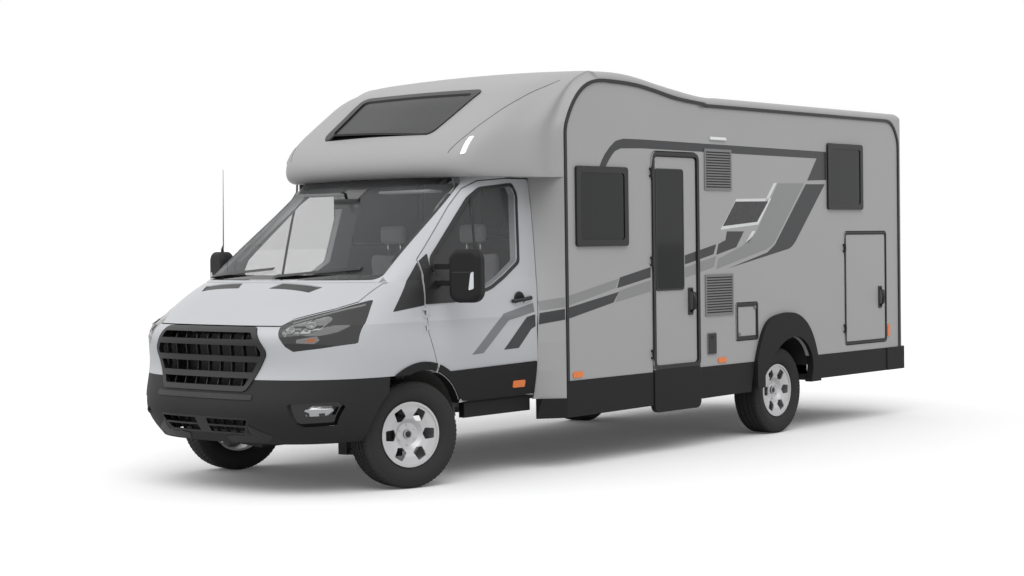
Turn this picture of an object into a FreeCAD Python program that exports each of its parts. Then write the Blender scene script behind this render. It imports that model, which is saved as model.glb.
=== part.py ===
# Low-profile coachbuilt motorhome on a light van chassis, parked with its front wheels turned
# to its right.
# X points to the vehicle's left, Y to its rear and Z up. All lengths are millimetres.
# While the pieces are made, Y is counted from the front axle; save() moves them to the origin,
# which is on the ground at the middle of the length and width.
import FreeCAD, Part
import math
import os

V = FreeCAD.Vector

# Whole vehicle
front_overhang = 1030.0
wheelbase = 4250.0
coach_rear = 6330.0
rear_bumper_depth = 30.0
overall_length = front_overhang + coach_rear + rear_bumper_depth
overrun = 60.0
seat_gap = 0.3
shut_gap = 7.0

# Wheels and steering
tyre_radius = 356.0
tyre_width = 235.0
rim_radius = 208.0
rim_width = 180.0
rim_wall = 7.0
hub_face_depth = 44.0
cap_radius = 30.0
wheel_holes = 6
lug_radius = 9.0
front_track_half = 870.0
rear_track_half = 990.0
kingpin_half = 800.0
steer_at_rest = -16.7
arch_radius = 424.0
arch_trim_width = 56.0
trim_thickness = 12.0

# Cab: outer form as level sections between the chin and the roof line
cab_half_width = 1035.0
cab_roof_height = 2125.0
cab_rear = 1325.0
plan_power = 3.0
panel = 26.0
door_thickness = 62.0
glass = 6.0
# Rows: height, half width, nose and squaring station as shares of the roof height, the half
# width and the front overhang, then how far an inset moves the nose line
cab_level_shares = [
    (0.1600, 0.8696, 0.9029, 0.0, 1.0),
    (0.2118, 0.9420, 0.9709, 0.0, 1.0),
    (0.2824, 0.9758, 1.0000, 0.0, 1.0),
    (0.3529, 0.9952, 0.9563, 0.0, 1.0),
    (0.4353, 1.0000, 0.9466, 0.0, 1.0),
    (0.5176, 0.9952, 0.8777, -0.02, 1.4),
    (0.5647, 0.9807, 0.7379, -0.194, 2.0),
    (0.6141, 0.9662, 0.5728, -0.34, 2.1),
    (0.6424, 0.9530, 0.4417, -0.398, 1.9),
    (0.7059, 0.9324, 0.2427, -0.437, 1.6),
    (0.8000, 0.8986, -0.0388, -0.602, 1.6),
    (0.8941, 0.8647, -0.3107, -0.796, 1.6),
    (1.0000, 0.8300, -0.6000, -0.990, 1.6),
]
cab_zones = [(0, 5), (5, 8), (8, 12)]

# Coach body
coach_half_width = 1155.0
coach_front = 1357.0
wall_thickness = 32.0
skirt_top = 622.0
corner_start_height = 2380.0
hump_height = 2790.0
hump_station = 1914.0
roof_edge_height = 2670.0
hump_end_station = 3333.0
roof_rear_station = 5975.0
wall_rear = 6225.0
wall_rear_corner_height = 2400.0
roof_rise = 60.0
roof_crown = 34.0
roof_thickness = 34.0
hump_rise_shares = [(0.0, 0.0), (0.045, 0.256), (0.122, 0.451), (0.329, 0.778), (0.558, 0.944), (1.0, 1.0)]
hump_fall_shares = [(0.230, 0.110), (0.4475, 0.458), (0.6716, 0.788), (0.857, 0.966), (1.0, 1.0)]
rear_corner_shares = [(0.62, 0.18), (0.88, 0.50), (1.0, 1.0)]

# Overcab moulding
overcab_lip_height = 2070.0
overcab_seam = 1750.0
overcab_wall = 26.0
nose_station = 470.0
# Points of the middle line: share of the way from the nose to the seam, and of the rise from
# the lip to the seam's middle height
overcab_middle_shares = [(0.070, 0.0), (0.0, 0.112), (0.031, 0.238), (0.117, 0.365), (0.320, 0.580),
                         (0.531, 0.790), (0.766, 0.920), (1.0, 1.0)]
# Rows: place across as a share of the half width, and how far the line has gone to the wall
overcab_cross_shares = [(0.0, 0.0), (0.35, 0.012), (0.61, 0.04), (0.70, 0.075), (0.757, 0.125),
                        (0.80, 0.20), (0.845, 0.34), (0.895, 0.54), (0.945, 0.76), (1.0, 1.0)]
# How far each point of the line follows the roof edge's rounding in place of the cheek
overcab_roof_shares = [0.0, 0.0, 0.0, 0.0, 0.0, 0.15, 0.55, 1.0]
# Heights of the wall's front edge that the lip and nose go back to
overcab_side_shares = [0.0, 0.3, 0.6]


def node_shift():
    return V(0, front_overhang - overall_length / 2, 0)


def save(name, *shapes):
    solids = []
    for shape in shapes:
        solids.extend(shape.Solids)
    whole = solids[0] if len(solids) == 1 else Part.makeCompound(solids)
    whole = whole.copy()
    whole.translate(node_shift())
    whole.exportStep("parts/" + name + ".step")


def mirrored(shape):
    return shape.mirror(V(0, 0, 0), V(1, 0, 0))


def both(shape):
    return Part.makeCompound(shape.Solids + mirrored(shape).Solids)


def joined(shapes):
    whole = shapes[0]
    for shape in shapes[1:]:
        whole = whole.fuse(shape)
    return whole.removeSplitter()


def cut_all(shape, tools):
    for tool in tools:
        shape = shape.cut(tool)
    return shape


# How much of the shorter edge a rounded corner may take, and how square an edge or face must lie
# to a direction to be rounded along it
corner_room_share = 0.48
edge_way_share = 0.5
face_way_share = 0.9


def flat_wire(points, radius):
    """A closed wire through flat corners, each turned into an arc of the radius."""
    if radius <= 0:
        return Part.makePolygon(points + [points[0]])
    edges = []
    count = len(points)
    ends = []
    for i in range(count):
        corner = points[i]
        back = points[i - 1] - corner
        ahead = points[(i + 1) % count] - corner
        half = back.getAngle(ahead) / 2
        room = corner_room_share * min(back.Length, ahead.Length) * math.tan(half)
        turn = min(radius, room)
        back.normalize()
        ahead.normalize()
        reach = turn / math.tan(half)
        middle = V(back.x + ahead.x, back.y + ahead.y, back.z + ahead.z)
        middle.normalize()
        ends.append((corner + back * reach, corner + middle * (turn / math.sin(half) - turn),
                     corner + ahead * reach))
    for i in range(count):
        start, middle, end = ends[i]
        edges.append(Part.Arc(start, middle, end).toShape())
        following = ends[(i + 1) % count][0]
        if end.distanceToPoint(following) > seat_gap / 10:
            edges.append(Part.LineSegment(end, following).toShape())
    return Part.Wire(edges)


def side_prism(outline, x0, x1, radius=0.0):
    """A solid with an outline of (y, z) points, from x0 to x1."""
    wire = flat_wire([V(x0, y, z) for y, z in outline], radius)
    return Part.Face(wire).extrude(V(x1 - x0, 0, 0))


def front_prism(outline, y0, y1, radius=0.0):
    """A solid with an outline of (x, z) points, from y0 to y1."""
    wire = flat_wire([V(x, y0, z) for x, z in outline], radius)
    return Part.Face(wire).extrude(V(0, y1 - y0, 0))


def top_prism(outline, z0, z1, radius=0.0):
    """A solid with an outline of (x, y) points, from z0 to z1."""
    wire = flat_wire([V(x, y, z0) for x, y in outline], radius)
    return Part.Face(wire).extrude(V(0, 0, z1 - z0))


def block(x0, x1, y0, y1, z0, z1):
    return Part.makeBox(x1 - x0, y1 - y0, z1 - z0, V(x0, y0, z0))


def rod(start, end, radius):
    way = end - start
    return Part.makeCylinder(radius, way.Length, start, way)


def rectangle(a0, a1, b0, b1, grow=0.0):
    return [(a0 - grow, b0 - grow), (a1 + grow, b0 - grow), (a1 + grow, b1 + grow), (a0 - grow, b1 + grow)]


# Cab form
def cab_level(row, inset):
    height, half, nose, square, reach = row
    return (height * cab_roof_height, half * cab_half_width - inset,
            -nose * front_overhang + inset * reach, -square * front_overhang)


def cab_section(row, inset, lift, rear):
    """One level section of the cab: a rounded nose with straight sides behind it."""
    height, half, nose, square = cab_level(row, inset)
    height += lift
    points = []
    steps = 16
    for i in range(-steps, steps + 1):
        turn = math.pi / 2 * abs(i) / steps
        across = half * math.sin(turn) ** (2 / plan_power)
        along = square - (square - nose) * math.cos(turn) ** (2 / plan_power)
        points.append(V(math.copysign(across, i), along, height))
    curve = Part.BSplineCurve()
    curve.interpolate(points)
    right_rear = V(-half, rear, height)
    left_rear = V(half, rear, height)
    edges = [curve.toShape(), Part.LineSegment(points[-1], left_rear).toShape(),
             Part.LineSegment(left_rear, right_rear).toShape(),
             Part.LineSegment(right_rear, points[0]).toShape()]
    return Part.Wire(edges)


cab_forms = {}


def cab_form(inset):
    """The cab's whole outer form, moved inwards by the inset."""
    if inset in cab_forms:
        return cab_forms[inset]
    rear = cab_rear + (overrun if inset > 0 else 0.0)
    last = len(cab_level_shares) - 1
    parts = []
    for low, high in cab_zones:
        wires = []
        for i in range(low, high + 1):
            lift = 0.0
            if inset > 0 and i == 0:
                lift = -overrun
            if inset > 0 and i == last:
                lift = overrun
            wires.append(cab_section(cab_level_shares[i], inset, lift, rear))
        parts.append(Part.makeLoft(wires, True, False))
    cab_forms[inset] = joined(parts)
    return cab_forms[inset]


def cab_half_at(height):
    """Half width of the cab at a height, between the rows of its table."""
    rows = [cab_level(row, 0.0) for row in cab_level_shares]
    for low, high in zip(rows, rows[1:]):
        if height <= high[0]:
            share = (height - low[0]) / (high[0] - low[0])
            return low[1] + share * (high[1] - low[1])
    return rows[-1][1]


# Wall and roof lines of the coach
def hump_line():
    """Points (y, z) of the black edge from the wall's front corner to the level roof."""
    line = []
    for along, up in hump_rise_shares:
        line.append((coach_front + along * (hump_station - coach_front),
                     corner_start_height + up * (hump_height - corner_start_height)))
    for along, down in hump_fall_shares:
        line.append((hump_station + along * (hump_end_station - hump_station),
                     hump_height - down * (hump_height - roof_edge_height)))
    return line


def rear_line():
    line = [(roof_rear_station, roof_edge_height)]
    for along, down in rear_corner_shares:
        line.append((roof_rear_station + along * (wall_rear - roof_rear_station),
                     roof_edge_height - down * (roof_edge_height - wall_rear_corner_height)))
    return line


def moved_line(line, inset):
    """The line moved to its right hand side by the inset."""
    moved = []
    for i, (y, z) in enumerate(line):
        before = line[max(i - 1, 0)]
        after = line[min(i + 1, len(line) - 1)]
        dy = after[0] - before[0]
        dz = after[1] - before[1]
        size = math.hypot(dy, dz)
        moved.append((y + inset * dz / size, z - inset * dy / size))
    return moved


def wall_prism(x0, x1, inset, bottom):
    """The side wall's outline as a solid, with its edge drawn in by the inset."""
    hump = [V(x0, y, z) for y, z in moved_line(hump_line(), inset)]
    rear = [V(x0, y, z) for y, z in moved_line(rear_line(), inset)]
    hump_curve = Part.BSplineCurve()
    hump_curve.interpolate(hump, InitialTangent=V(0, 0, 1), FinalTangent=V(0, 1, 0))
    rear_curve = Part.BSplineCurve()
    rear_curve.interpolate(rear, InitialTangent=V(0, 1, 0), FinalTangent=V(0, 0, -1))
    foot_front = V(x0, hump[0].y, bottom)
    foot_rear = V(x0, rear[-1].y, bottom)
    edges = [Part.LineSegment(foot_front, hump[0]).toShape(), hump_curve.toShape(),
             Part.LineSegment(hump[-1], rear[0]).toShape(), rear_curve.toShape(),
             Part.LineSegment(rear[-1], foot_rear).toShape(),
             Part.LineSegment(foot_rear, foot_front).toShape()]
    return Part.Face(Part.Wire(edges)).extrude(V(x1 - x0, 0, 0))


def edge_height(station):
    """Height of the wall's top edge at a station, on the same curve as the wall."""
    hump = [V(0, y, z) for y, z in hump_line()]
    curve = Part.BSplineCurve()
    curve.interpolate(hump, InitialTangent=V(0, 0, 1), FinalTangent=V(0, 1, 0))
    low, high = curve.FirstParameter, curve.LastParameter
    if station >= hump[-1].y:
        return roof_edge_height
    while high - low > (curve.LastParameter - curve.FirstParameter) / 100000:
        middle = (low + high) / 2
        if curve.value(middle).y < station:
            low = middle
        else:
            high = middle
    return curve.value(low).z


def roof_section(station, lower, half, edge, rise, crown):
    """The roof's outer line across the vehicle, closed below at the lower height."""
    turn = rise * (1 - math.sqrt(0.5))
    side = [V(half, station, edge), V(half - turn, station, edge + rise - turn),
            V(half - rise, station, edge + rise)]
    top = V(0, station, edge + rise + crown)
    other = [V(-p.x, p.y, p.z) for p in side]
    foot = [V(half, station, lower), V(-half, station, lower)]
    edges = [Part.Arc(*side).toShape(), Part.Arc(side[2], top, other[2]).toShape(),
             Part.Arc(other[2], other[1], other[0]).toShape()]
    if lower < edge:
        edges.append(Part.LineSegment(other[0], foot[1]).toShape())
    edges.append(Part.LineSegment(foot[1], foot[0]).toShape())
    if lower < edge:
        edges.append(Part.LineSegment(foot[0], side[0]).toShape())
    return Part.Wire(edges)


roof_stations = [overcab_seam, hump_station]
roof_stations += [hump_station + along * (hump_end_station - hump_station) for along,
                  down in hump_fall_shares]
roof_zones = [roof_stations, [hump_end_station, roof_rear_station]]

rooflight_size = 480.0
rooflight_stations = [2700.0, 4950.0]
rooflight_frame = 24.0
rooflight_height = 62.0


def rooflight_outline(station, grow):
    half = rooflight_size / 2
    return rectangle(-half, half, station - half, station + half, grow)


def roof():
    """The roof skin: a curved zone over the hump and a level one behind it."""
    zones = []
    for stations in roof_zones:
        outer = []
        inner = []
        for y in stations:
            z = edge_height(y)
            outer.append(roof_section(y, z - trim_thickness, coach_half_width, z, roof_rise, roof_crown))
            inner.append(roof_section(y, z - overrun, coach_half_width - wall_thickness, z,
                                      roof_rise - roof_thickness, roof_crown))
        zones.append(Part.makeLoft(outer, True, False).cut(Part.makeLoft(inner, True, False)))
    shell = joined(zones)
    wall = wall_prism(coach_half_width - wall_thickness - seat_gap, coach_half_width + overrun, -seat_gap,
                      skirt_top)
    shell = cut_all(shell, [wall, mirrored(wall)])
    for station in rooflight_stations:
        opening = rooflight_outline(station, -rooflight_frame)
        shell = shell.cut(top_prism(opening, roof_edge_height - overrun, hump_height + 2 * overrun))
    save("roof", shell)


def rooflights():
    """Roof lights: a frame in the roof's opening under a domed lid."""
    solids = []
    base = roof_edge_height + roof_rise - roof_thickness - overrun / 2
    for station in rooflight_stations:
        top = edge_height(station - rooflight_size / 2) + roof_rise + roof_crown
        inside = rooflight_outline(station, -rooflight_frame - seat_gap)
        neck = top_prism(inside, base, top + rooflight_height / 2, rooflight_frame)
        lid = top_prism(rooflight_outline(station, 0), top + rooflight_height / 3,
                        top + rooflight_height, rooflight_frame)
        hollow = rooflight_outline(station, -2 * rooflight_frame)
        well = top_prism(hollow, base - overrun, top + rooflight_height / 3, rooflight_frame)
        solids.append(joined([neck, lid]).cut(well))
    save("rooflights", *solids)


# Overcab moulding
def overcab_line(across_share, gone, inset):
    """The overcab's lengthwise (y, z) line at one place across, from the lip to the seam."""
    seam_height = edge_height(overcab_seam) + roof_rise + roof_crown
    middle = [(nose_station + along * (overcab_seam - nose_station),
               overcab_lip_height + up * (seam_height - overcab_lip_height))
              for along, up in overcab_middle_shares]
    wall_foot = corner_start_height - overcab_lip_height
    side = [(coach_front, overcab_lip_height + wall_foot * share) for share in overcab_side_shares]
    side += [(coach_front + along * (hump_station - coach_front),
              corner_start_height + up * (hump_height - corner_start_height))
             for along, up in hump_rise_shares[:4]]
    side.append((overcab_seam, edge_height(overcab_seam)))
    half = coach_half_width
    beyond = max(across_share * half - (half - roof_rise), 0.0) / roof_rise
    rounding = roof_rise * (1 - math.sqrt(max(1 - beyond ** 2, 0.0)))
    roof_gone = (roof_crown * across_share ** 2 + rounding) / (roof_crown + roof_rise)
    line = []
    for near, far, follow in zip(middle, side, overcab_roof_shares):
        part = (1 - follow) * gone + follow * roof_gone
        line.append((near[0] + gone * (far[0] - near[0]), near[1] + part * (far[1] - near[1])))
    line = moved_line(line, inset)
    line[0] = (line[0][0], overcab_lip_height + inset)
    line[-1] = (overcab_seam, line[-1][1])
    beyond = 2 * overrun if inset > 0 else overrun
    line.append((overcab_seam + beyond, line[-1][1]))
    return line


def closing_face(edge, corners):
    """The flat face between an edge of a curved skin and straight lines through the corners."""
    ends = [edge.Vertexes[0].Point, edge.Vertexes[-1].Point]
    start = min(ends, key=lambda p: p.distanceToPoint(corners[0]))
    end = max(ends, key=lambda p: p.distanceToPoint(corners[0]))
    path = [start] + corners + [end]
    lines = [Part.LineSegment(p, q).toShape() for p, q in zip(path, path[1:])
             if p.distanceToPoint(q) > seat_gap / 10]
    plane = Part.Plane(path[0], path[1], edge.discretize(3)[1])
    return Part.Face(plane, Part.Wire(Part.__sortEdges__([edge] + lines)))


def overcab_form(inset):
    """The overcab's whole form, moved inwards by the inset: a curved skin closed by flat faces."""
    rows = [(-a, g) for a, g in reversed(overcab_cross_shares[1:])] + list(overcab_cross_shares)
    half = coach_half_width - inset
    grid = [[V(a * half, y, z) for y, z in overcab_line(abs(a), g, inset)] for a, g in rows]
    surface = Part.BSplineSurface()
    surface.interpolate(grid)
    skin = surface.toShape()
    low = overcab_lip_height + inset
    rear = grid[0][-1].y
    faces = [skin]

    def nearest(point):
        return min(skin.Edges, key=lambda e: e.distToShape(Part.Vertex(point))[0])

    middle = len(grid) // 2
    inner = len(grid[0]) // 2
    lip = nearest(grid[middle][0])
    seam = nearest(grid[middle][-1])
    feet = [V(-half, rear, low), V(half, rear, low)]
    faces.append(closing_face(lip, [feet[0], feet[1]]))
    faces.append(closing_face(seam, [feet[0], feet[1]]))
    faces.append(closing_face(nearest(grid[0][inner]), [feet[0]]))
    faces.append(closing_face(nearest(grid[-1][inner]), [feet[1]]))
    closed = Part.Shell(faces)
    closed.sewShape()
    return Part.Solid(closed)


sunroof_top_half = 600.0
sunroof_foot_half = 545.0
sunroof_foot_station = 640.0
sunroof_top_station = 1155.0
sunroof_corner = 60.0


def sunroof_outline(grow):
    foot = sunroof_foot_half + grow
    top = sunroof_top_half + grow
    return [(-foot, sunroof_foot_station - grow), (foot, sunroof_foot_station - grow),
            (top, sunroof_top_station + grow), (-top, sunroof_top_station + grow)]


def overcab():
    outer = overcab_form(0.0)
    shell = outer.cut(overcab_form(overcab_wall))
    high = hump_height + 2 * overrun
    half = coach_half_width - wall_thickness
    opening = top_prism(sunroof_outline(0.0), overcab_lip_height + overrun, high, sunroof_corner)
    pane = top_prism(sunroof_outline(-seat_gap), overcab_lip_height + overrun, high, sunroof_corner)
    save("overcab_window", shell.common(pane))
    side = wall_prism(half, coach_half_width + overrun, 0.0, skirt_top)
    tools = [side, mirrored(side),
             block(-coach_half_width, coach_half_width, overcab_seam, overcab_seam + 3 * overrun,
                   overcab_lip_height, high),
             block(-half, half, coach_front, overcab_seam + overrun, overcab_lip_height - overrun,
                   overcab_lip_height + overcab_wall + seat_gap),
             cab_form(-seat_gap), cab_form(panel), opening]
    save("overcab_shell", cut_all(shell, tools))


# Cab doors: outline points as shares of the door's length and height
door_front = 50.0
door_length = 1250.0
door_foot = 535.0
door_height = 1583.0
door_shares = [(0.080, 0.155), (0.060, 0.205), (0.012, 0.315), (0.0, 0.4245), (0.032, 0.553),
               (0.028, 0.613), (0.357, 0.843), (0.472, 0.916), (0.576, 0.951), (0.800, 0.9635),
               (0.984, 0.9645), (0.996, 0.952), (0.988, 0.818), (0.952, 0.559), (0.926, 0.414),
               (0.905, 0.287), (0.905, 0.0), (0.080, 0.0)]
door_corner = 14.0
door_window_shares = [(0.276, 0.445), (0.100, 0.560), (0.120, 0.615), (0.483, 0.868), (0.576, 0.910),
                      (0.842, 0.930), (0.866, 0.892), (0.800, 0.600), (0.660, 0.537), (0.540, 0.494)]
door_window_corner = 22.0
glass_inset = 12.0
door_reach = 420.0
hinge_half = 1031.0
hinge_station = 46.5
hinge_radius = 5.5
hinge_length = 32.0
hinge_reach = 34.0
hinge_depth = 20.0
hinge_clear = 6.0
hinge_heights = [1040.0, 1140.0]


def hinge_piece(low, length, reach):
    """One knuckle of a cab door's hinge with its leaf, on the pin in the front shut line."""
    foot = V(hinge_half, hinge_station, low)
    barrel = rod(foot, foot + V(0, 0, length), hinge_radius)
    start, end = sorted([hinge_station, hinge_station + reach])
    return barrel.fuse(block(hinge_half - hinge_depth, hinge_half, start, end, low, low + length))


def door_outline(shares, grow=0.0):
    return [(door_front + along * door_length, door_foot + up * door_height) for along, up in shares]


def grown_prism(outline, x0, x1, corner, grow):
    """A side prism whose outline is moved outwards by the growth."""
    wire = flat_wire([V(x0, y, z) for y, z in outline], corner)
    if grow:
        wire = wire.makeOffset2D(grow)
    return Part.Face(wire).extrude(V(x1 - x0, 0, 0))


def arch_cylinder(radius, x0, x1):
    return rod(V(x0, 0, tyre_radius), V(x1, 0, tyre_radius), radius)


def cab_layer(prism, outer, inner):
    """What the prism takes out of the cab's skin, between two insets."""
    return prism.common(cab_form(outer)).cut(cab_form(inner))


def cab_doors():
    outside = cab_half_width + overrun
    prism = grown_prism(door_outline(door_shares), door_reach, outside, door_corner, 0.0)
    door = cab_layer(prism, 0.0, door_thickness)
    window = grown_prism(door_outline(door_window_shares), door_reach, outside, door_window_corner, 0.0)
    arch = arch_cylinder(arch_radius, door_reach, outside)
    door = door.cut(window).cut(arch)
    arms = [hinge_piece(height, hinge_length, hinge_reach) for height in hinge_heights]
    door = joined([door] + arms)
    save("cab_door_left", door)
    save("cab_door_right", mirrored(door))
    pane = grown_prism(door_outline(door_window_shares), door_reach, outside, door_window_corner, -seat_gap)
    pane = cab_layer(pane, glass_inset, glass_inset + glass)
    save("door_glass_left", pane)
    save("door_glass_right", mirrored(pane))


# Mirrors
mirror_out = 1338.0
mirror_in = 1108.0
mirror_station = 205.0
mirror_depth = 112.0
mirror_foot = 1218.0
mirror_top = 1572.0
mirror_corner = 72.0
mirror_round = 34.0
mirror_sweep = 17.0
mirror_arm_height = 34.0
mirror_arm_half = 24.0
mirror_arm_heights = [1330.0, 1440.0]


def mirrors():
    """Mirror heads swept back at their outer ends, each on two arms from the door."""
    low = mirror_station - mirror_depth / 2
    head = front_prism(rectangle(mirror_in, mirror_out, mirror_foot, mirror_top), low, low + mirror_depth,
                       mirror_corner)
    faces = [face for face in head.Faces if abs(face.normalAt(0, 0).y) > face_way_share]
    head = head.makeFillet(mirror_round, [edge for face in faces for edge in face.Edges])
    head.rotate(V(mirror_in, mirror_station, 0), V(0, 0, 1), mirror_sweep)
    pieces = [head]
    inside = cab_half_width - door_thickness
    for height in mirror_arm_heights:
        arm = block(inside, mirror_in + mirror_corner, mirror_station - mirror_arm_half,
                    mirror_station + mirror_arm_half, height, height + mirror_arm_height)
        pieces.append(arm)
    whole = joined(pieces)
    whole = whole.cut(cab_form(-seat_gap))
    save("mirror_left", whole)
    save("mirror_right", mirrored(whole))


# Bonnet, screen, lamps and grille: front outlines as (x, z)
bonnet_front_height = 1100.0
bonnet_rear_height = 1362.0
bonnet_front_half = 590.0
bonnet_rear_half = 868.0
bonnet_vent_inner = 148.0
bonnet_vent_outer = 580.0
bonnet_vent_front = 545.0
bonnet_vent_rear = 462.0
bonnet_vent_slant = 48.0
bonnet_vent_depth = 9.0
bonnet_hinge_station = -185.0
bonnet_hinge_length = 16.0
bonnet_hinge_radius = 7.0
bonnet_rear_end = -110.0
# Side edge points: shares of the way outwards and of the rise from the front edge
bonnet_side_shares = [(0.0, 0.0), (0.15, 0.17), (0.74, 0.39), (0.985, 0.545), (1.0, 1.0)]
screen_foot = 1378.0
screen_top = 2074.0
screen_foot_half = 843.0
screen_top_half = 792.0
screen_corner = 40.0
screen_inset = 4.0


def bonnet_outline():
    width = bonnet_rear_half - bonnet_front_half
    rise = bonnet_rear_height - bonnet_front_height
    side = [(bonnet_front_half + out * width, bonnet_front_height + up * rise) for out,
            up in bonnet_side_shares]
    return side + [(-x, z) for x, z in reversed(side)]


def bonnet_barrel(x0, x1):
    """A knuckle of the bonnet's hinge, level with the bonnet's rear edge."""
    return rod(V(x0, bonnet_hinge_station, bonnet_rear_height),
               V(x1, bonnet_hinge_station, bonnet_rear_height), bonnet_hinge_radius)


def bonnet_leaf(x0, x1, reach, forward):
    """The leaf of a knuckle, forward into the bonnet or back into the cowl."""
    y0, y1 = bonnet_hinge_station - reach * forward, bonnet_hinge_station + reach * (1 - forward)
    return block(x0, x1, y0, y1, bonnet_rear_height - bonnet_hinge_radius, bonnet_rear_height)


def cowl_column(inset):
    """Upright column below the cab's level outline at the bonnet's rear edge."""
    wire = cab_form(inset).slice(V(0, 0, 1), bonnet_rear_height)[0]
    column = Part.Face(wire).extrude(V(0, 0, bonnet_front_height - bonnet_rear_height - overrun))
    return column.fuse(column.translated(V(0, 0, shut_gap)))


def screen_outline():
    return [(-screen_foot_half, screen_foot), (screen_foot_half, screen_foot),
            (screen_top_half, screen_top), (-screen_top_half, screen_top)]


def grown_front(outline, y0, y1, corner, grow):
    wire = flat_wire([V(x, y0, z) for x, z in outline], corner)
    if grow:
        wire = wire.makeOffset2D(grow)
    return Part.Face(wire).extrude(V(0, y1 - y0, 0))


def nose_prism(outline, corner, grow=0.0, rear=-160.0):
    return grown_front(outline, -front_overhang - overrun, rear, corner, grow)


def bonnet():
    hood = cab_layer(nose_prism(bonnet_outline(), 0.0, 0.0, bonnet_rear_end), 0.0, panel)
    hood = hood.cut(cowl_column(0.0))
    vent = [(bonnet_vent_inner, -bonnet_vent_front), (bonnet_vent_outer - bonnet_vent_slant,
                                                      -bonnet_vent_front),
            (bonnet_vent_outer, -bonnet_vent_rear), (bonnet_vent_inner + bonnet_vent_slant,
                                                     -bonnet_vent_rear)]
    low = bonnet_front_height
    pocket = top_prism(vent, low, bonnet_rear_height + overrun, bonnet_vent_depth)
    pocket = pocket.cut(cab_form(bonnet_vent_depth))
    hood = cut_all(hood, [pocket, mirrored(pocket)])
    inner = bonnet_rear_half - bonnet_hinge_length
    leaf = bonnet_leaf(inner, bonnet_rear_half, 3 * bonnet_hinge_length, 1).common(cab_form(0.0))
    barrel = bonnet_barrel(inner, bonnet_rear_half).fuse(leaf)
    save("bonnet", joined([hood, barrel, mirrored(barrel)]))


def windscreen():
    prism = nose_prism(screen_outline(), screen_corner, -seat_gap, cab_rear / 2)
    above = block(-cab_half_width, cab_half_width, -front_overhang, cab_rear,
                  overcab_lip_height - seat_gap, cab_roof_height)
    save("windscreen", cab_layer(prism, screen_inset, screen_inset + glass).cut(above))


# Head lamp outline as shares between its inner front corner and its outer rear one
lamp_inner = 592.0
lamp_outer = 972.0
lamp_foot = 937.0
lamp_top = 1262.0
lamp_shares = [(0.0, 0.49), (0.105, 0.60), (0.56, 0.79), (0.84, 0.98), (1.0, 0.51), (1.0, 0.14),
               (0.68, 0.06), (0.31, 0.0), (0.19, 0.10), (0.08, 0.28)]
lamp_corner = 10.0
lamp_rear = -290.0
lamp_depth = 62.0


def lamp_outline():
    return [(lamp_inner + a * (lamp_outer - lamp_inner), lamp_foot + b * (lamp_top - lamp_foot))
            for a, b in lamp_shares]


fog_inner = 690.0
fog_outer = 930.0
fog_foot = 455.0
fog_top = 616.0
fog_shares = [(0.0, 0.93), (0.93, 1.0), (1.0, 0.80), (0.80, 0.05), (0.20, 0.0), (0.10, 0.12)]
fog_lens_shares = [(0.32, 0.72), (0.84, 0.80), (0.76, 0.48), (0.38, 0.42)]
fog_corner = 12.0
fog_recess = 26.0


def fog_outline(shares):
    return [(fog_inner + a * (fog_outer - fog_inner), fog_foot + b * (fog_top - fog_foot)) for a,
            b in shares]


def front_lamps():
    head = cab_layer(nose_prism(lamp_outline(), lamp_corner, -seat_gap, lamp_rear), 0.0, lamp_depth)
    fog = cab_layer(nose_prism(fog_outline(fog_shares), fog_corner, -seat_gap, -front_overhang / 2),
                    fog_recess, lamp_depth)
    lens = cab_layer(nose_prism(fog_outline(fog_lens_shares), fog_corner / 2, 0.0, -front_overhang / 2),
                     glass_inset, lamp_depth)
    fog = fog.fuse(lens)
    save("front_lamps", both(head), both(fog))


grille_top_half = 436.0
grille_wide_half = 547.0
grille_foot_half = 404.0
grille_top = 1093.0
grille_wide = 930.0
grille_foot = 682.0
grille_corner = 60.0
grille_rim = 34.0
grille_bar = 38.0
grille_rib = 7.0
grille_ribs = 9
grille_bar_shares = [0.25, 0.50, 0.76]
grille_proud = 9.0
intake_top_half = 440.0
intake_foot_half = 362.0
intake_top = 512.0
intake_foot = 400.0
intake_corner = 18.0
intake_bar = 12.0
intake_plate_half = 52.0
intake_bar_shares = [0.5]
intake_ribs = 9


def grille_outline():
    side = [(grille_foot_half, grille_foot), (grille_wide_half, grille_wide), (grille_top_half, grille_top)]
    return side + [(-x, z) for x, z in reversed(side)]


def intake_outline():
    return [(-intake_foot_half, intake_foot), (intake_foot_half, intake_foot),
            (intake_top_half, intake_top), (-intake_top_half, intake_top)]


def level_bars(low, high, shares, half, thick):
    """Level bars right across an opening of the front."""
    bars = []
    for share in shares:
        middle = low + share * (high - low)
        bars.append(block(-half, half, -front_overhang - 2 * overrun, 0, middle - thick / 2,
                          middle + thick / 2))
    return bars


def upright_ribs(half, count):
    ribs = []
    for i in range(count):
        x = -half + (i + 1) * 2 * half / (count + 1)
        ribs.append(block(x - grille_rib / 2, x + grille_rib / 2, -front_overhang - overrun, 0, 0,
                          grille_top))
    return Part.makeCompound(ribs)


def barred_frame(outline, corner, rim, bars, proud):
    """A rim with bars across it, in the cab's skin."""
    whole = nose_prism(outline, corner, -seat_gap)
    inside = nose_prism(outline, corner, -rim)
    frame = whole.cut(cut_all(inside, bars))
    return frame.common(cab_form(-proud)).cut(cab_form(panel))


def ribs_behind(outline, corner, rim, half, count):
    """Thin upright ribs that lie against the back of a frame's rim and bars."""
    zone = nose_prism(outline, corner, -rim / 2).common(upright_ribs(half, count))
    return zone.common(cab_form(panel + seat_gap)).cut(cab_form(2 * panel))


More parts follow.
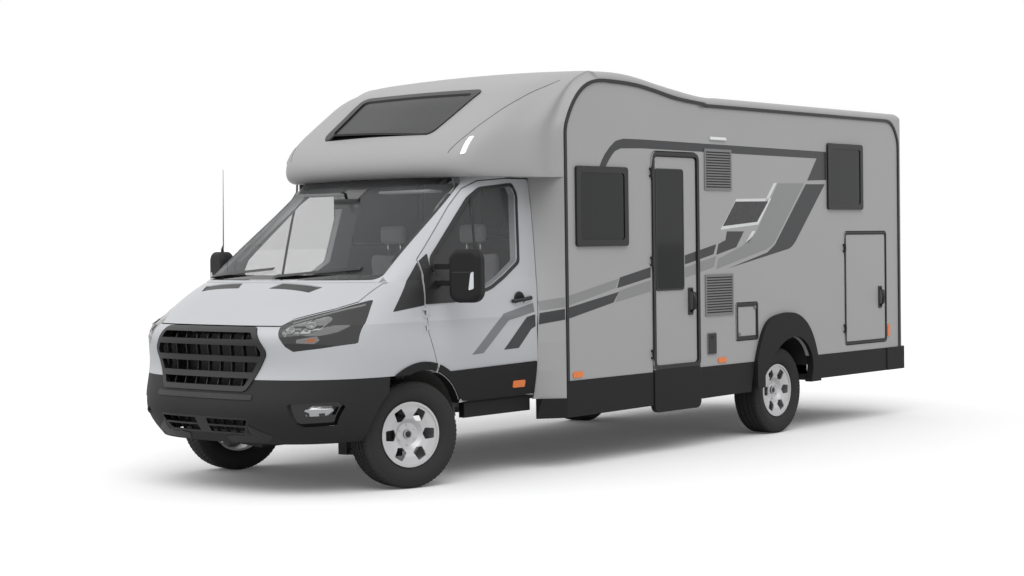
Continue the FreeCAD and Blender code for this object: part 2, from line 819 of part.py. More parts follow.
def grille():
    bars = level_bars(grille_foot, grille_top, grille_bar_shares, grille_wide_half, grille_bar)
    frame = barred_frame(grille_outline(), grille_corner, grille_rim, bars, grille_proud)
    ribs = ribs_behind(grille_outline(), grille_corner, grille_rim, grille_wide_half, grille_ribs)
    bars = level_bars(intake_foot, intake_top, intake_bar_shares, intake_top_half, intake_bar)
    bars.append(block(-intake_plate_half, intake_plate_half, -front_overhang - overrun, 0, intake_foot,
                      intake_top))
    low_frame = barred_frame(intake_outline(), intake_corner, intake_bar, bars, 0.0)
    low_ribs = ribs_behind(intake_outline(), intake_corner, intake_bar, intake_top_half, intake_ribs)
    save("grille", frame, ribs, low_frame, low_ribs)


bumper_top = 757.0
bumper_rear = -300.0
tow_eye_half = 620.0
tow_eye_height = 520.0
tow_eye_radius = 12.0
tow_eye_depth = 90.0
tow_boss_radius = 26.0


def bumper():
    low = cab_level_shares[0][0] * cab_roof_height
    half = cab_half_width + overrun
    region = block(-half, half, -front_overhang - overrun, bumper_rear, low, bumper_top)
    skin = cab_layer(region, 0.0, panel)
    tools = [arch_cylinder(arch_radius, -half, half), nose_prism(grille_outline(), grille_corner),
             nose_prism(intake_outline(), intake_corner)]
    fog = nose_prism(fog_outline(fog_shares), fog_corner, 0.0, -front_overhang / 2)
    tools += [fog, mirrored(fog)]
    skin = cut_all(skin, tools)
    nose = V(-tow_eye_half, -front_overhang, tow_eye_height)
    way = V(0, tow_eye_depth, 0)
    boss = rod(nose + way, nose + way * 3, tow_boss_radius)
    bore = rod(nose - way, nose + way * 4, tow_eye_radius)
    save("front_bumper", skin.fuse(boss).cut(bore))


def cab_shell():
    """Wings, screen pillars and header: the cab's skin without what opens or is let into it."""
    half = cab_half_width + overrun
    skin = cab_form(0.0).cut(cab_form(panel))
    door = grown_prism(door_outline(door_shares), door_reach, half, door_corner, shut_gap)
    rear_cut = [(door_front + along * door_length, door_foot + up * door_height)
                for along, up in door_shares[9:16]]
    rear_cut = [(rear_cut[0][0], cab_roof_height + overrun)] + rear_cut
    rear_cut += [(rear_cut[-1][0], 0.0), (cab_rear + overrun, 0.0),
                 (cab_rear + overrun, cab_roof_height + overrun)]
    behind = side_prism(rear_cut, -half, half)
    head = nose_prism(lamp_outline(), lamp_corner, 0.0, lamp_rear)
    tools = [door, mirrored(door), behind, head, mirrored(head),
             nose_prism(bonnet_outline(), 0.0, shut_gap, bonnet_rear_end).cut(cowl_column(shut_gap / 2)),
             nose_prism(screen_outline(), screen_corner, 0.0, cab_rear / 2),
             nose_prism(grille_outline(), grille_corner),
             block(-half, half, -front_overhang - overrun, 0, 0, bumper_top + seat_gap),
             block(-half, half, 0, cab_rear + overrun, 0, door_foot + shut_gap),
             arch_cylinder(arch_radius, -half, half)]
    skin = cut_all(skin, tools)
    leaves = []
    for height in hinge_heights:
        notch = block(hinge_half - hinge_depth - hinge_clear, half,
                      hinge_station - hinge_radius - hinge_clear,
                      cab_rear, height - seat_gap, height + hinge_length + seat_gap)
        skin = cut_all(skin, [notch, mirrored(notch)])
        for low in (height - hinge_length / 2 - seat_gap, height + hinge_length + seat_gap):
            leaf = hinge_piece(low, hinge_length / 2, -hinge_reach)
            leaves += [leaf, mirrored(leaf)]
    inner = bonnet_rear_half - bonnet_hinge_length - shut_gap
    low = bonnet_rear_height - bonnet_hinge_radius - shut_gap
    notch = block(inner, bonnet_rear_half + shut_gap, bonnet_hinge_station - 3 * bonnet_hinge_length,
                  bonnet_hinge_station + bonnet_hinge_radius + shut_gap, low, bonnet_rear_height + overrun)
    skin = cut_all(skin, [notch, mirrored(notch)])
    inner = bonnet_rear_half + seat_gap
    outer = inner + bonnet_hinge_length
    pin = bonnet_barrel(inner, outer).fuse(bonnet_leaf(inner, outer, 3 * bonnet_hinge_length, 0))
    leaves += [pin, mirrored(pin)]
    save("cab_shell", joined([skin] + leaves))


def front_arch_trims():
    """Black lips round the front arches, on the wings."""
    half = cab_half_width + overrun
    ring = arch_cylinder(arch_radius + arch_trim_width, door_reach, half).cut(
        arch_cylinder(arch_radius + seat_gap, door_reach, half))
    lip = ring.common(cab_form(-trim_thickness)).cut(cab_form(-seat_gap))
    keep = block(door_reach, half, -arch_radius - arch_trim_width, door_front, bumper_top, cab_roof_height)
    save("front_arch_trims", both(lip.common(keep)))


# Cab floor, bulkhead, wheel housings and sills
cab_floor_low = 500.0
cab_floor_top = 535.0
cab_floor_half = 920.0
bulkhead_station = -215.0
bulkhead_thickness = 25.0
bulkhead_top = 1290.0
housing_inner = 530.0
housing_gap = 10.0
housing_wall = 12.0
sill_foot = 425.0
sill_top = 528.0
sill_out = 968.0
sill_front = 470.0
sill_rear = 1170.0


def cab_floor():
    half = cab_floor_half
    floor = block(-half, half, bulkhead_station, coach_front, cab_floor_low, cab_floor_top)
    board = block(-half, half, bulkhead_station, bulkhead_station + bulkhead_thickness, cab_floor_low,
                  bulkhead_top)
    whole = floor.fuse(board)
    outer = arch_radius + housing_gap + housing_wall
    housing = arch_cylinder(outer, housing_inner, half)
    hollow = arch_cylinder(arch_radius + housing_gap, housing_inner + housing_wall, half + overrun)
    keep = block(housing_inner, half, -outer, outer, cab_floor_low - overrun, cab_roof_height)
    well = housing.common(keep)
    whole = joined([whole, well, mirrored(well)])
    whole = cut_all(whole, [hollow, mirrored(hollow)])
    inside = cab_form(panel + housing_wall)
    save("cab_floor", whole.common(inside.fuse(block(-half, half, 0, coach_front, 0, cab_roof_height))))


def sills():
    sill = block(cab_floor_half + seat_gap, sill_out, sill_front, sill_rear, sill_foot, sill_top)
    save("side_sills", both(sill))


# Corner panels between the cab and the coach
corner_thickness = 22.0
corner_front_gap = 6.0


def corner_panels():
    rows = []
    count = 9
    low = skirt_top - 2 * overrun
    for i in range(count):
        z = low + i * (overcab_lip_height + overcab_wall - low) / (count - 1)
        half = cab_half_at(z)
        station = door_rear_at(z) + corner_front_gap
        points = [V(half, station, z), V(coach_half_width, coach_front - seat_gap, z),
                  V(coach_half_width - wall_thickness, coach_front - seat_gap, z),
                  V(half - corner_thickness, station + corner_thickness / 2, z)]
        rows.append(Part.makePolygon(points + [points[0]]))
    fill = Part.makeLoft(rows, True, True)
    fill = fill.cut(overcab_form(0.0))
    save("corner_panels", both(fill))


def door_rear_at(height):
    """Station of the cab door's rear edge at a height."""
    points = [(door_foot + up * door_height, door_front + along * door_length)
              for along, up in reversed(door_shares[11:17])]
    if height <= points[0][0]:
        return points[0][1]
    for low, high in zip(points, points[1:]):
        if height <= high[0]:
            share = (height - low[0]) / (high[0] - low[0])
            return low[1] + share * (high[1] - low[1])
    return points[-1][1]


# Openings in the coach's left wall, as (y, z) limits
entry_front = 2400.0
entry_rear = 3030.0
entry_foot = 313.0
entry_top = 2289.0
entry_corner = 70.0
entry_rim = 30.0
entry_rim_proud = 12.0
entry_window = [2461.0, 2805.0, 1244.0, 2142.0]
entry_window_corner = 24.0
locker = [5244.0, 5990.0, 676.0, 1673.0]
locker_corner = 34.0
hatch = [3530.0, 3862.0, 798.0, 1108.0]
hatch_corner = 20.0
side_windows = [[1477.0, 2093.0, 1575.0, 2153.0], [4960.0, 5555.0, 1858.0, 2425.0]]
right_windows = [[1477.0, 2377.0, 1575.0, 2153.0], [3050.0, 3750.0, 1620.0, 2153.0],
                 [4960.0, 5555.0, 1858.0, 2425.0]]
window_corner = 26.0
window_frame = 46.0
window_proud = 20.0
window_pane_proud = 13.0
vents = [[3108.0, 3485.0, 1999.0, 2323.0], [3103.0, 3494.0, 1015.0, 1341.0]]
vent_proud = 9.0
vent_slats = 14
vent_rim = 16.0
inlet = [3125.0, 3247.0, 713.0, 884.0]
outside_half = coach_half_width
inside_half = coach_half_width - wall_thickness

# Rear arch
arch_front = 3800.0
arch_length = 990.0
arch_foot = 405.0
arch_height = 590.0
arch_outer_shares = [(0.0, 0.385), (0.07, 0.67), (0.17, 0.89), (0.38, 1.0), (0.61, 0.99), (0.80, 0.82),
                     (0.94, 0.43), (1.0, 0.0)]
arch_inner_shares = [(0.115, 0.17), (0.25, 0.43), (0.42, 0.61), (0.68, 0.64), (0.80, 0.51), (0.832, 0.0)]
arch_proud = 34.0


def box_outline(limits, grow=0.0):
    return rectangle(limits[0], limits[1], limits[2], limits[3], grow)


def arch_points(shares):
    return [V(0, arch_front + a * arch_length, arch_foot + b * arch_height) for a, b in shares]


def arch_opening(x0, x1):
    """The rear wheel's opening, open below."""
    line = arch_points(arch_inner_shares)
    curve = Part.BSplineCurve()
    curve.interpolate(line)
    foot = [V(0, line[-1].y, arch_foot - 2 * overrun), V(0, line[0].y, arch_foot - 2 * overrun)]
    edges = [curve.toShape(), Part.LineSegment(line[-1], foot[0]).toShape(),
             Part.LineSegment(foot[0], foot[1]).toShape(), Part.LineSegment(foot[1], line[0]).toShape()]
    face = Part.Face(Part.Wire(edges))
    face.translate(V(x0, 0, 0))
    return face.extrude(V(x1 - x0, 0, 0))


hinge_pin = 7.0
hinge_stand = 16.0
hinge_tall = 36.0
entry_hinge_shares = [0.08, 0.5, 0.9]
locker_hinge_shares = [0.15, 0.85]


def wall_hinges(station, low, high, shares, to_door):
    """Hinge barrels on the wall's face; the door's barrel is the middle one of each three."""
    pieces = []
    for share in shares:
        middle = low + share * (high - low)
        spans = [(middle - hinge_tall / 2, middle + hinge_tall / 2)]
        if not to_door:
            spans = [(middle - hinge_tall, middle - hinge_tall / 2 - seat_gap),
                     (middle + hinge_tall / 2 + seat_gap, middle + hinge_tall)]
        for z0, z1 in spans:
            centre = V(outside_half + hinge_stand, station, z0)
            barrel = rod(centre, centre + V(0, 0, z1 - z0), hinge_pin)
            y0, y1 = (station, station + hinge_stand) if to_door else (station - hinge_stand, station)
            leaf = block(outside_half, outside_half + hinge_stand, y0, y1, z0, z1)
            pieces.append(barrel.fuse(leaf))
    return pieces


def side_wall_base():
    wall = wall_prism(inside_half, outside_half, 0.0, skirt_top)
    return wall.cut(arch_opening(inside_half - overrun, outside_half + overrun))


def wall_hole(outline, corner, grow=0.0):
    return grown_prism(outline, inside_half - overrun, outside_half + overrun, corner, grow)


def side_walls():
    left = side_wall_base()
    entry = rectangle(entry_front, entry_rear, skirt_top - 2 * overrun, entry_top)
    tools = [wall_hole(entry, entry_corner), wall_hole(box_outline(locker), locker_corner),
             wall_hole(box_outline(hatch), hatch_corner)]
    tools += [wall_hole(box_outline(w, -window_frame / 2), window_corner) for w in side_windows]
    left = cut_all(left, tools)
    left = joined([left] + wall_hinges(entry_front - hinge_pin / 2, skirt_top, entry_top,
                                       entry_hinge_shares, False)
                  + wall_hinges(locker[0] - hinge_pin / 2, locker[2], locker[3], locker_hinge_shares,
                                False))
    save("side_wall_left", left)
    right = side_wall_base()
    tools = [wall_hole(box_outline(w, -window_frame / 2), window_corner) for w in right_windows]
    save("side_wall_right", mirrored(cut_all(right, tools)))


def body_windows():
    """Frames standing proud of the walls, each with its pane let in."""
    frames = []
    panes = []
    for windows, on_left in ((side_windows, True), (right_windows, False)):
        for limits in windows:
            rim = grown_prism(box_outline(limits), outside_half, outside_half + window_proud,
                              window_corner, 0.0)
            neck = grown_prism(box_outline(limits, -window_frame / 2 - seat_gap), inside_half, outside_half,
                               window_corner, 0.0)
            hole = grown_prism(box_outline(limits, -window_frame), inside_half - overrun,
                               outside_half + overrun, window_corner, 0.0)
            frame = joined([rim, neck]).cut(hole)
            pane = grown_prism(box_outline(limits, -window_frame - seat_gap), outside_half,
                               outside_half + window_pane_proud, window_corner, 0.0)
            frames.append(frame if on_left else mirrored(frame))
            panes.append(pane if on_left else mirrored(pane))
    save("window_frames", *frames)
    save("window_panes", *panes)


vent_slat_share = 0.25


def wall_vents():
    """Louvred vents and the small inlet flap on the left wall."""
    pieces = []
    for limits in vents:
        plate = grown_prism(box_outline(limits), outside_half, outside_half + vent_proud, vent_rim / 2, 0.0)
        height = limits[3] - limits[2] - 2 * vent_rim
        pitch = height / vent_slats
        slots = []
        for i in range(vent_slats):
            low = limits[2] + vent_rim + (i + vent_slat_share) * pitch
            slots.append(block(outside_half + vent_proud / 3, outside_half + overrun, limits[0] + vent_rim,
                               limits[1] - vent_rim, low, low + pitch / 2))
        pieces.append(plate.cut(Part.makeCompound(slots)))
    pieces.append(grown_prism(box_outline(inlet), outside_half, outside_half + vent_proud, vent_rim / 2,
                              0.0))
    save("wall_vents", *pieces)


def entry_door():
    station = entry_front - hinge_pin / 2
    frame_outline = rectangle(entry_front, entry_rear, skirt_top + shut_gap, entry_top)
    leaf = grown_prism(frame_outline, inside_half, outside_half, entry_corner, -shut_gap)
    rim = grown_prism(frame_outline, outside_half, outside_half + entry_rim_proud, entry_corner, -shut_gap)
    rim = rim.cut(grown_prism(frame_outline, outside_half, outside_half + overrun, entry_corner,
                              -shut_gap - entry_rim))
    apron_outline = rectangle(entry_front, entry_rear, entry_foot - shut_gap,
                              skirt_top + 2 * shut_gap + entry_rim)
    apron = grown_prism(apron_outline, skirt_in, outside_half + entry_rim_proud, entry_corner, -shut_gap)
    door = joined([leaf, rim, apron] + wall_hinges(station, skirt_top, entry_top, entry_hinge_shares, True))
    hole = grown_prism(box_outline(entry_window), inside_half - overrun, outside_half + overrun,
                       entry_window_corner, 0.0)
    save("entry_door", door.cut(hole))
    pane = grown_prism(box_outline(entry_window), outside_half - glass, outside_half + entry_rim_proud / 2,
                       entry_window_corner, -seat_gap)
    save("entry_window", pane)


def locker_door():
    station = locker[0] - hinge_pin / 2
    outline = box_outline(locker)
    leaf = grown_prism(outline, inside_half, outside_half, locker_corner, -shut_gap)
    rim = grown_prism(outline, outside_half, outside_half + entry_rim_proud / 2, locker_corner, -shut_gap)
    rim = rim.cut(grown_prism(outline, outside_half, outside_half + overrun, locker_corner,
                              -shut_gap - entry_rim / 2))
    pieces = [leaf, rim] + wall_hinges(station, locker[2], locker[3], locker_hinge_shares, True)
    save("locker_door", joined(pieces))


def service_hatch():
    outline = box_outline(hatch)
    leaf = grown_prism(outline, inside_half, outside_half, hatch_corner, -shut_gap)
    rim = grown_prism(outline, outside_half, outside_half + entry_rim_proud / 2, hatch_corner, -shut_gap)
    rim = rim.cut(grown_prism(outline, outside_half, outside_half + overrun, hatch_corner,
                              -shut_gap - entry_rim / 2))
    save("service_hatch", joined([leaf, rim]))


# Skirts, arch trims, edge trims
skirt_in = 1128.0
skirt_out = 1160.0
skirt_foot_front = 362.0
skirt_foot_rear = 420.0
skirt_front = 1357.0
# The front end below the corner panels: stations at its foot and top, and its half width there
skirt_nose_foot = 1182.0
skirt_nose_top = 1214.0
skirt_nose_half = 1020.0


def skirts():
    """Black skirts below the walls: two on each side, parted by the rear arch."""
    front_line = [(skirt_front, skirt_top - seat_gap), (skirt_front, skirt_foot_front),
                  (arch_front - overrun, skirt_foot_front + overrun / 3), (arch_front,
                                                                           skirt_top - seat_gap)]
    rear_start = arch_front + arch_length
    rear_edge = [(rear_start, skirt_top - seat_gap), (rear_start, skirt_foot_rear),
                 (roof_rear_station, skirt_foot_rear), (roof_rear_station, skirt_top - seat_gap)]
    front_piece = side_prism(front_line, skirt_in, skirt_out)
    rear_piece = side_prism(rear_edge, skirt_in, skirt_out)
    high = skirt_top - 2 * overrun - seat_gap
    nose = side_prism([(skirt_nose_foot, skirt_foot_front), (skirt_front, skirt_foot_front),
                       (skirt_front, high),
                       (skirt_nose_top, high)], 0, skirt_out)
    thick = skirt_out - skirt_in
    plan = [(skirt_nose_half, skirt_nose_foot), (skirt_out, skirt_front), (skirt_in, skirt_front),
            (skirt_nose_half - thick, skirt_nose_foot + thick)]
    nose = nose.common(top_prism(plan, 0, skirt_top))
    front_piece = joined([front_piece, nose])
    door = block(skirt_in - overrun, skirt_out + overrun, entry_front, entry_rear, 0, skirt_top + overrun)
    right = [mirrored(front_piece), mirrored(rear_piece)]
    save("skirts", front_piece.cut(door), rear_piece, *right)


def rear_arch_trims():
    curve = Part.BSplineCurve()
    line = arch_points(arch_outer_shares)
    curve.interpolate(line)
    foot = [V(0, line[-1].y, arch_foot), V(0, line[0].y, arch_foot)]
    edges = [curve.toShape(), Part.LineSegment(line[-1], foot[1]).toShape(),
             Part.LineSegment(foot[1], line[0]).toShape()]
    plate = Part.Face(Part.Wire(edges)).extrude(V(arch_proud + coach_half_width - skirt_in, 0, 0))
    plate.translate(V(skirt_in, 0, 0))
    plate = plate.cut(arch_opening(skirt_in - overrun, coach_half_width + 2 * overrun))
    behind = block(skirt_in - overrun, outside_half + seat_gap, arch_front - overrun,
                   arch_front + arch_length + overrun, skirt_top - seat_gap, 2 * skirt_top)
    sides = block(skirt_in - overrun, skirt_out + seat_gap, arch_front - overrun, arch_front + seat_gap, 0,
                  2 * skirt_top)
    save("rear_arch_trims", both(plate.cut(behind).cut(sides)))


edge_trim_width = 26.0
edge_trim_proud = 11.0


def edge_trims():
    """The black moulding along the wall's front, roof and rear edges."""
    band = wall_prism(outside_half, outside_half + edge_trim_proud, 0.0, skirt_top)
    band = band.cut(wall_prism(outside_half - overrun, outside_half + overrun, edge_trim_width, 0.0))
    save("edge_trims", both(band))


# Rear cap, bumper and lamps
cap_thickness = 32.0
cap_corner = 95.0
cap_top_corner = 250.0
rear_lamp_half = 960.0
rear_lamp_width = 110.0
rear_lamp_foot = 760.0
rear_lamp_top = 1240.0
rear_lamp_proud = 16.0
rear_plate_half = 260.0
rear_plate_height = 112.0
rear_plate_foot = 680.0
plate_thickness = 3.0
rack_spacing_x = 600.0
rack_spacing_z = 900.0
rack_foot = 1150.0
rack_hole_radius = 4.5


def cap_form(inset, low):
    half = coach_half_width - inset
    rear = coach_rear - inset
    front = roof_rear_station - (overrun if inset else 0.0)
    section = roof_section(front, low, half, roof_edge_height, roof_rise - inset, roof_crown)
    shell = Part.Face(section).extrude(V(0, rear - front, 0))
    turn = cap_corner - inset
    top_turn = cap_top_corner - inset
    high = roof_edge_height + roof_rise + roof_crown - inset
    plan = flat_wire([V(-half, rear, low), V(half, rear, low), V(half, front - 2 * rear, low),
                      V(-half, front - 2 * rear, low)], turn)
    shell = shell.common(Part.Face(plan).extrude(V(0, 0, 2 * high)))
    side = flat_wire([V(-half, rear, high), V(-half, rear, -high), V(-half, -rear, -high),
                      V(-half, -rear, high)], top_turn)
    return shell.common(Part.Face(side).extrude(V(2 * half, 0, 0)))


def rear_cap():
    shell = cap_form(0.0, skirt_top).cut(cap_form(cap_thickness, skirt_top - overrun))
    wall = wall_prism(inside_half - seat_gap, outside_half + overrun, 0.0, skirt_top - overrun)
    shell = cut_all(shell, [wall, mirrored(wall)])
    for x in (-rack_spacing_x / 2, rack_spacing_x / 2):
        for z in (rack_foot, rack_foot + rack_spacing_z):
            shell = shell.cut(rod(V(x, coach_rear - 2 * cap_thickness, z), V(x, coach_rear + overrun, z),
                                  rack_hole_radius))
    save("rear_cap", shell)


bumper_foot = 420.0


def rear_bumper():
    half = coach_half_width + trim_thickness
    rear = coach_rear + rear_bumper_depth
    plan = flat_wire([V(-half, rear, bumper_foot), V(half, rear, bumper_foot),
                      V(half, roof_rear_station - rear, bumper_foot),
                      V(-half, roof_rear_station - rear, bumper_foot)], cap_corner)
    solid = Part.Face(plan).extrude(V(0, 0, skirt_top - bumper_foot - seat_gap))
    solid = solid.cut(block(-half - overrun, half + overrun, -rear, roof_rear_station + seat_gap, 0,
                            skirt_top))
    inner = flat_wire([V(-half + cap_thickness, rear - cap_thickness, 0),
                       V(half - cap_thickness, rear - cap_thickness, 0),
                       V(half - cap_thickness, -rear, 0), V(-half + cap_thickness, -rear, 0)], cap_corner)
    save("rear_bumper", solid.cut(Part.Face(inner).extrude(V(0, 0, coach_rear))))


def rear_lamps():
    pieces = []
    for side in (-1, 1):
        x = side * rear_lamp_half
        cluster = block(x - rear_lamp_width / 2, x + rear_lamp_width / 2, coach_rear,
                        coach_rear + rear_lamp_proud,
                        rear_lamp_foot, rear_lamp_top)
        pieces.append(cluster)
    high = block(-rear_lamp_width * 2, rear_lamp_width * 2, coach_rear, coach_rear + rear_lamp_proud,
                 2 * rear_lamp_top, 2 * rear_lamp_top + rear_lamp_width / 4)
    save("rear_lamps", high, *pieces)


def number_plate():
    save("number_plate", block(-rear_plate_half, rear_plate_half, coach_rear, coach_rear + plate_thickness,
                               rear_plate_foot, rear_plate_foot + rear_plate_height))


# Marker lamps: orange ones along the sides and white ones high at the front
marker_length = 110.0
marker_height = 42.0
marker_proud = 7.0
marker_stations = [1484.0, 3330.0]
marker_middle = 662.0
rear_marker = [5998.0, 6040.0, 722.0, 832.0]


def marker_lamps():
    pieces = []
    for station in marker_stations:
        limits = [station - marker_length / 2, station + marker_length / 2,
                  marker_middle - marker_height / 2,
                  marker_middle + marker_height / 2]
        pieces.append(grown_prism(box_outline(limits), outside_half, outside_half + marker_proud,
                                  marker_height / 3, 0.0))
    pieces.append(grown_prism(box_outline(rear_marker), outside_half, outside_half + marker_proud,
                              marker_height / 3, 0.0))
    save("marker_lamps", *[both(piece) for piece in pieces])


# Coach floor with wheel boxes
coach_floor_top = 662.0
wheel_box_inner = 800.0
wheel_box_front = 3780.0
wheel_box_rear = 4720.0
wheel_box_top = 870.0
wheel_box_wall = 14.0


def coach_floor():
    floor = block(-inside_half + seat_gap, inside_half - seat_gap, coach_front,
                  coach_rear - cap_thickness - seat_gap,
                  skirt_top, coach_floor_top)
    boxes = block(wheel_box_inner, inside_half - seat_gap, wheel_box_front, wheel_box_rear, skirt_top,
                  wheel_box_top)
    hollow = block(wheel_box_inner + wheel_box_wall, inside_half + overrun,
                   wheel_box_front + wheel_box_wall,
                   wheel_box_rear - wheel_box_wall, skirt_top - overrun, wheel_box_top - wheel_box_wall)
    whole = joined([floor, boxes, mirrored(boxes)])
    whole = cut_all(whole, [hollow, mirrored(hollow)])
    cap = cap_form(cap_thickness + seat_gap, 0.0)
    keep = cap.fuse(block(-inside_half, inside_half, coach_front, roof_rear_station, 0, hump_height))
    save("coach_floor", whole.common(keep))


# Chassis below the coach and the cab
rail_foot = 470.0
rail_top = 600.0
rail_inner = 465.0
rail_outer = 535.0
rail_join = 1360.0
front_rail_inner = 380.0
front_rail_outer = 460.0
front_rail_end = -800.0
front_rail_top = 499.7
rail_rear = 6180.0
member_width = 60.0
bearer_half = 1095.0
bearer_stations = [1420.0, 2230.0, 3180.0, 4960.0, 5620.0]
member_stations = [2000.0, 3100.0, 5300.0]
front_beam_half = 560.0
tow_member_half = 620.0
tow_member_foot = 445.0
tow_bolt_x = 520.0
tow_bolt_drop = 90.0
tow_bolt_radius = 6.5
spring_middle = 500.0
spring_half_width = 30.0
spring_half_length = 600.0
spring_low = 286.0
spring_thick = 24.0
hanger_length = 40.0
jack_pad_half = 30.0
jack_pad_thick = 12.0
jack_pad_rear = (500.0, 5800.0)
jack_pad_front = (420.0, 1000.0)


def jack_pad(place, top):
    x, y = place
    return block(x - jack_pad_half, x + jack_pad_half, y - jack_pad_half, y + jack_pad_half,
                 top - jack_pad_thick, top)


def chassis():
    """Two rails with crossmembers, the front beam and the hangers of the rear springs."""
    rail = block(rail_inner, rail_outer, rail_join, rail_rear, rail_foot, rail_top)
    nose = block(front_rail_inner, front_rail_outer, front_rail_end, rail_join + member_width,
                 rail_foot - overrun,
                 front_rail_top)
    pieces = [rail, mirrored(rail), nose, mirrored(nose)]
    pieces.append(block(-rail_outer, rail_outer, rail_join, rail_join + member_width, rail_foot - overrun,
                        rail_top))
    pieces.append(block(-front_beam_half, front_beam_half, front_rail_end - member_width, front_rail_end,
                        rail_foot - overrun, front_rail_top))
    for station in member_stations:
        pieces.append(block(-rail_inner, rail_inner, station, station + member_width, rail_foot, rail_top))
    for station in bearer_stations:
        pieces.append(block(-bearer_half, bearer_half, station, station + member_width,
                            rail_top - member_width,
                            skirt_top - seat_gap))
    tow = block(-tow_member_half, tow_member_half, rail_rear - member_width, rail_rear, tow_member_foot,
                rail_top)
    pieces.append(tow)
    pads = [jack_pad(jack_pad_rear, rail_foot), jack_pad(jack_pad_front, rail_foot - overrun)]
    pieces += pads + [mirrored(pad) for pad in pads]
    for end in (-1, 1):
        station = wheelbase + end * spring_half_length
        hanger = block(spring_middle - spring_half_width, spring_middle + spring_half_width,
                       station - hanger_length / 2, station + hanger_length / 2,
                       spring_low + spring_thick + seat_gap, rail_foot)
        pieces += [hanger, mirrored(hanger)]
    frame = joined(pieces)
    for x in (-tow_bolt_x / 2, tow_bolt_x / 2):
        for z in (tow_member_foot + tow_bolt_drop / 4, tow_member_foot + tow_bolt_drop * 5 / 4):
            frame = frame.cut(rod(V(x, rail_rear - 2 * member_width, z), V(x, rail_rear + overrun, z),
                                  tow_bolt_radius))
    save("chassis_frame", frame)


axle_radius = 45.0
stub_radius = 30.0
drum_radius = 140.0
drum_inner = 60.0
drum_width = 50.0
hub_reach = 40.0


def rear_axle():
    """Beam axle with drums and stubs, on two long leaf springs."""
    middle = V(0, wheelbase, tyre_radius)
    stub_end = rear_track_half + hub_reach
    drum_start = rear_track_half - drum_inner - drum_width
    beam = rod(middle - V(drum_start + drum_width / 2, 0, 0),
               middle + V(drum_start + drum_width / 2, 0, 0), axle_radius)
    pieces = [beam, rod(middle - V(stub_end, 0, 0), middle + V(stub_end, 0, 0), stub_radius)]
    drum = rod(middle + V(drum_start, 0, 0), middle + V(drum_start + drum_width, 0, 0), drum_radius)
    low = spring_low
    leaf = block(spring_middle - spring_half_width, spring_middle + spring_half_width,
                 wheelbase - spring_half_length - hanger_length,
                 wheelbase + spring_half_length + hanger_length,
                 low, low + spring_thick)
    pieces += [drum, mirrored(drum), leaf, mirrored(leaf)]
    saddle = block(spring_middle - spring_half_width, spring_middle + spring_half_width,
                   wheelbase - 2 * axle_radius,
                   wheelbase + 2 * axle_radius, low, tyre_radius)
    pieces += [saddle, mirrored(saddle)]
    save("rear_axle", joined(pieces))


# Front suspension and knuckles; the upright stands just inside the tyre
arm_foot = 200.0
arm_thick = 34.7
arm_root_half = 150.0
arm_tip_half = 34.0
knuckle_inner = 715.0
knuckle_outer = 744.0
knuckle_half = 34.0
knuckle_foot = 235.0
knuckle_foot_thick = 28.0
knuckle_top = 746.0
knuckle_top_thick = 26.0
knuckle_lip = 830.0
knuckle_boss_radius = 24.0
knuckle_boss_rise = 40.0
shield_radius = 118.0
shield_start = 800.0
shield_thick = 14.0
tower_half = 40.0
tower_inner = 552.0
tower_thick = 26.0
tower_foot = 380.0


def turned(shape):
    """A front wheel's piece turned with the steering about the left kingpin."""
    piece = shape.copy()
    piece.rotate(V(kingpin_half, 0, 0), V(0, 0, 1), steer_at_rest)
    return piece


def turned_right(shape):
    piece = mirrored(shape)
    piece.rotate(V(-kingpin_half, 0, 0), V(0, 0, 1), steer_at_rest)
    return piece


def knuckles():
    upright = block(knuckle_inner, knuckle_outer, -knuckle_half, knuckle_half, knuckle_foot, knuckle_top)
    foot = block(knuckle_inner, knuckle_lip, -knuckle_half, knuckle_half, knuckle_foot,
                 knuckle_foot + knuckle_foot_thick)
    head = block(knuckle_inner, knuckle_lip, -knuckle_half, knuckle_half, knuckle_top - knuckle_top_thick,
                 knuckle_top)
    centre = V(0, 0, tyre_radius)
    stub = rod(centre + V(knuckle_outer, 0, 0), centre + V(front_track_half + hub_reach, 0, 0), stub_radius)
    shield = rod(centre + V(shield_start, 0, 0), centre + V(shield_start + shield_thick, 0, 0),
                 shield_radius)
    boss = rod(V(kingpin_half, 0, knuckle_foot), V(kingpin_half, 0, knuckle_foot + knuckle_boss_rise),
               knuckle_boss_radius)
    whole = joined([upright, foot, head, stub, shield, boss])
    save("knuckle_left", turned(whole))
    save("knuckle_right", turned_right(whole))


def front_suspension():
    """Lower arms from the rails to below the knuckles, and towers above them to the rails."""
    outline = [(front_rail_inner, -arm_root_half), (kingpin_half, -arm_tip_half),
               (kingpin_half, arm_tip_half),
               (front_rail_inner, arm_root_half)]
    arm = top_prism(outline, arm_foot, arm_foot + arm_thick)
    post = block(front_rail_inner, front_rail_outer, -arm_root_half, arm_root_half, arm_foot,
                 rail_foot - overrun - seat_gap)
    bracket = block(front_rail_outer, tower_inner + tower_thick, -tower_half, tower_half, tower_foot,
                    rail_foot - overrun - seat_gap)
    column = block(tower_inner, tower_inner + tower_thick, -tower_half, tower_half, tower_foot,
                   knuckle_top + seat_gap + tower_thick / 2)
    shelf = block(tower_inner, kingpin_half + tower_half, -tower_half, tower_half, knuckle_top + seat_gap,
                  knuckle_top + seat_gap + tower_thick / 2)
    save("front_suspension", both(joined([arm, post, bracket, column, shelf])))


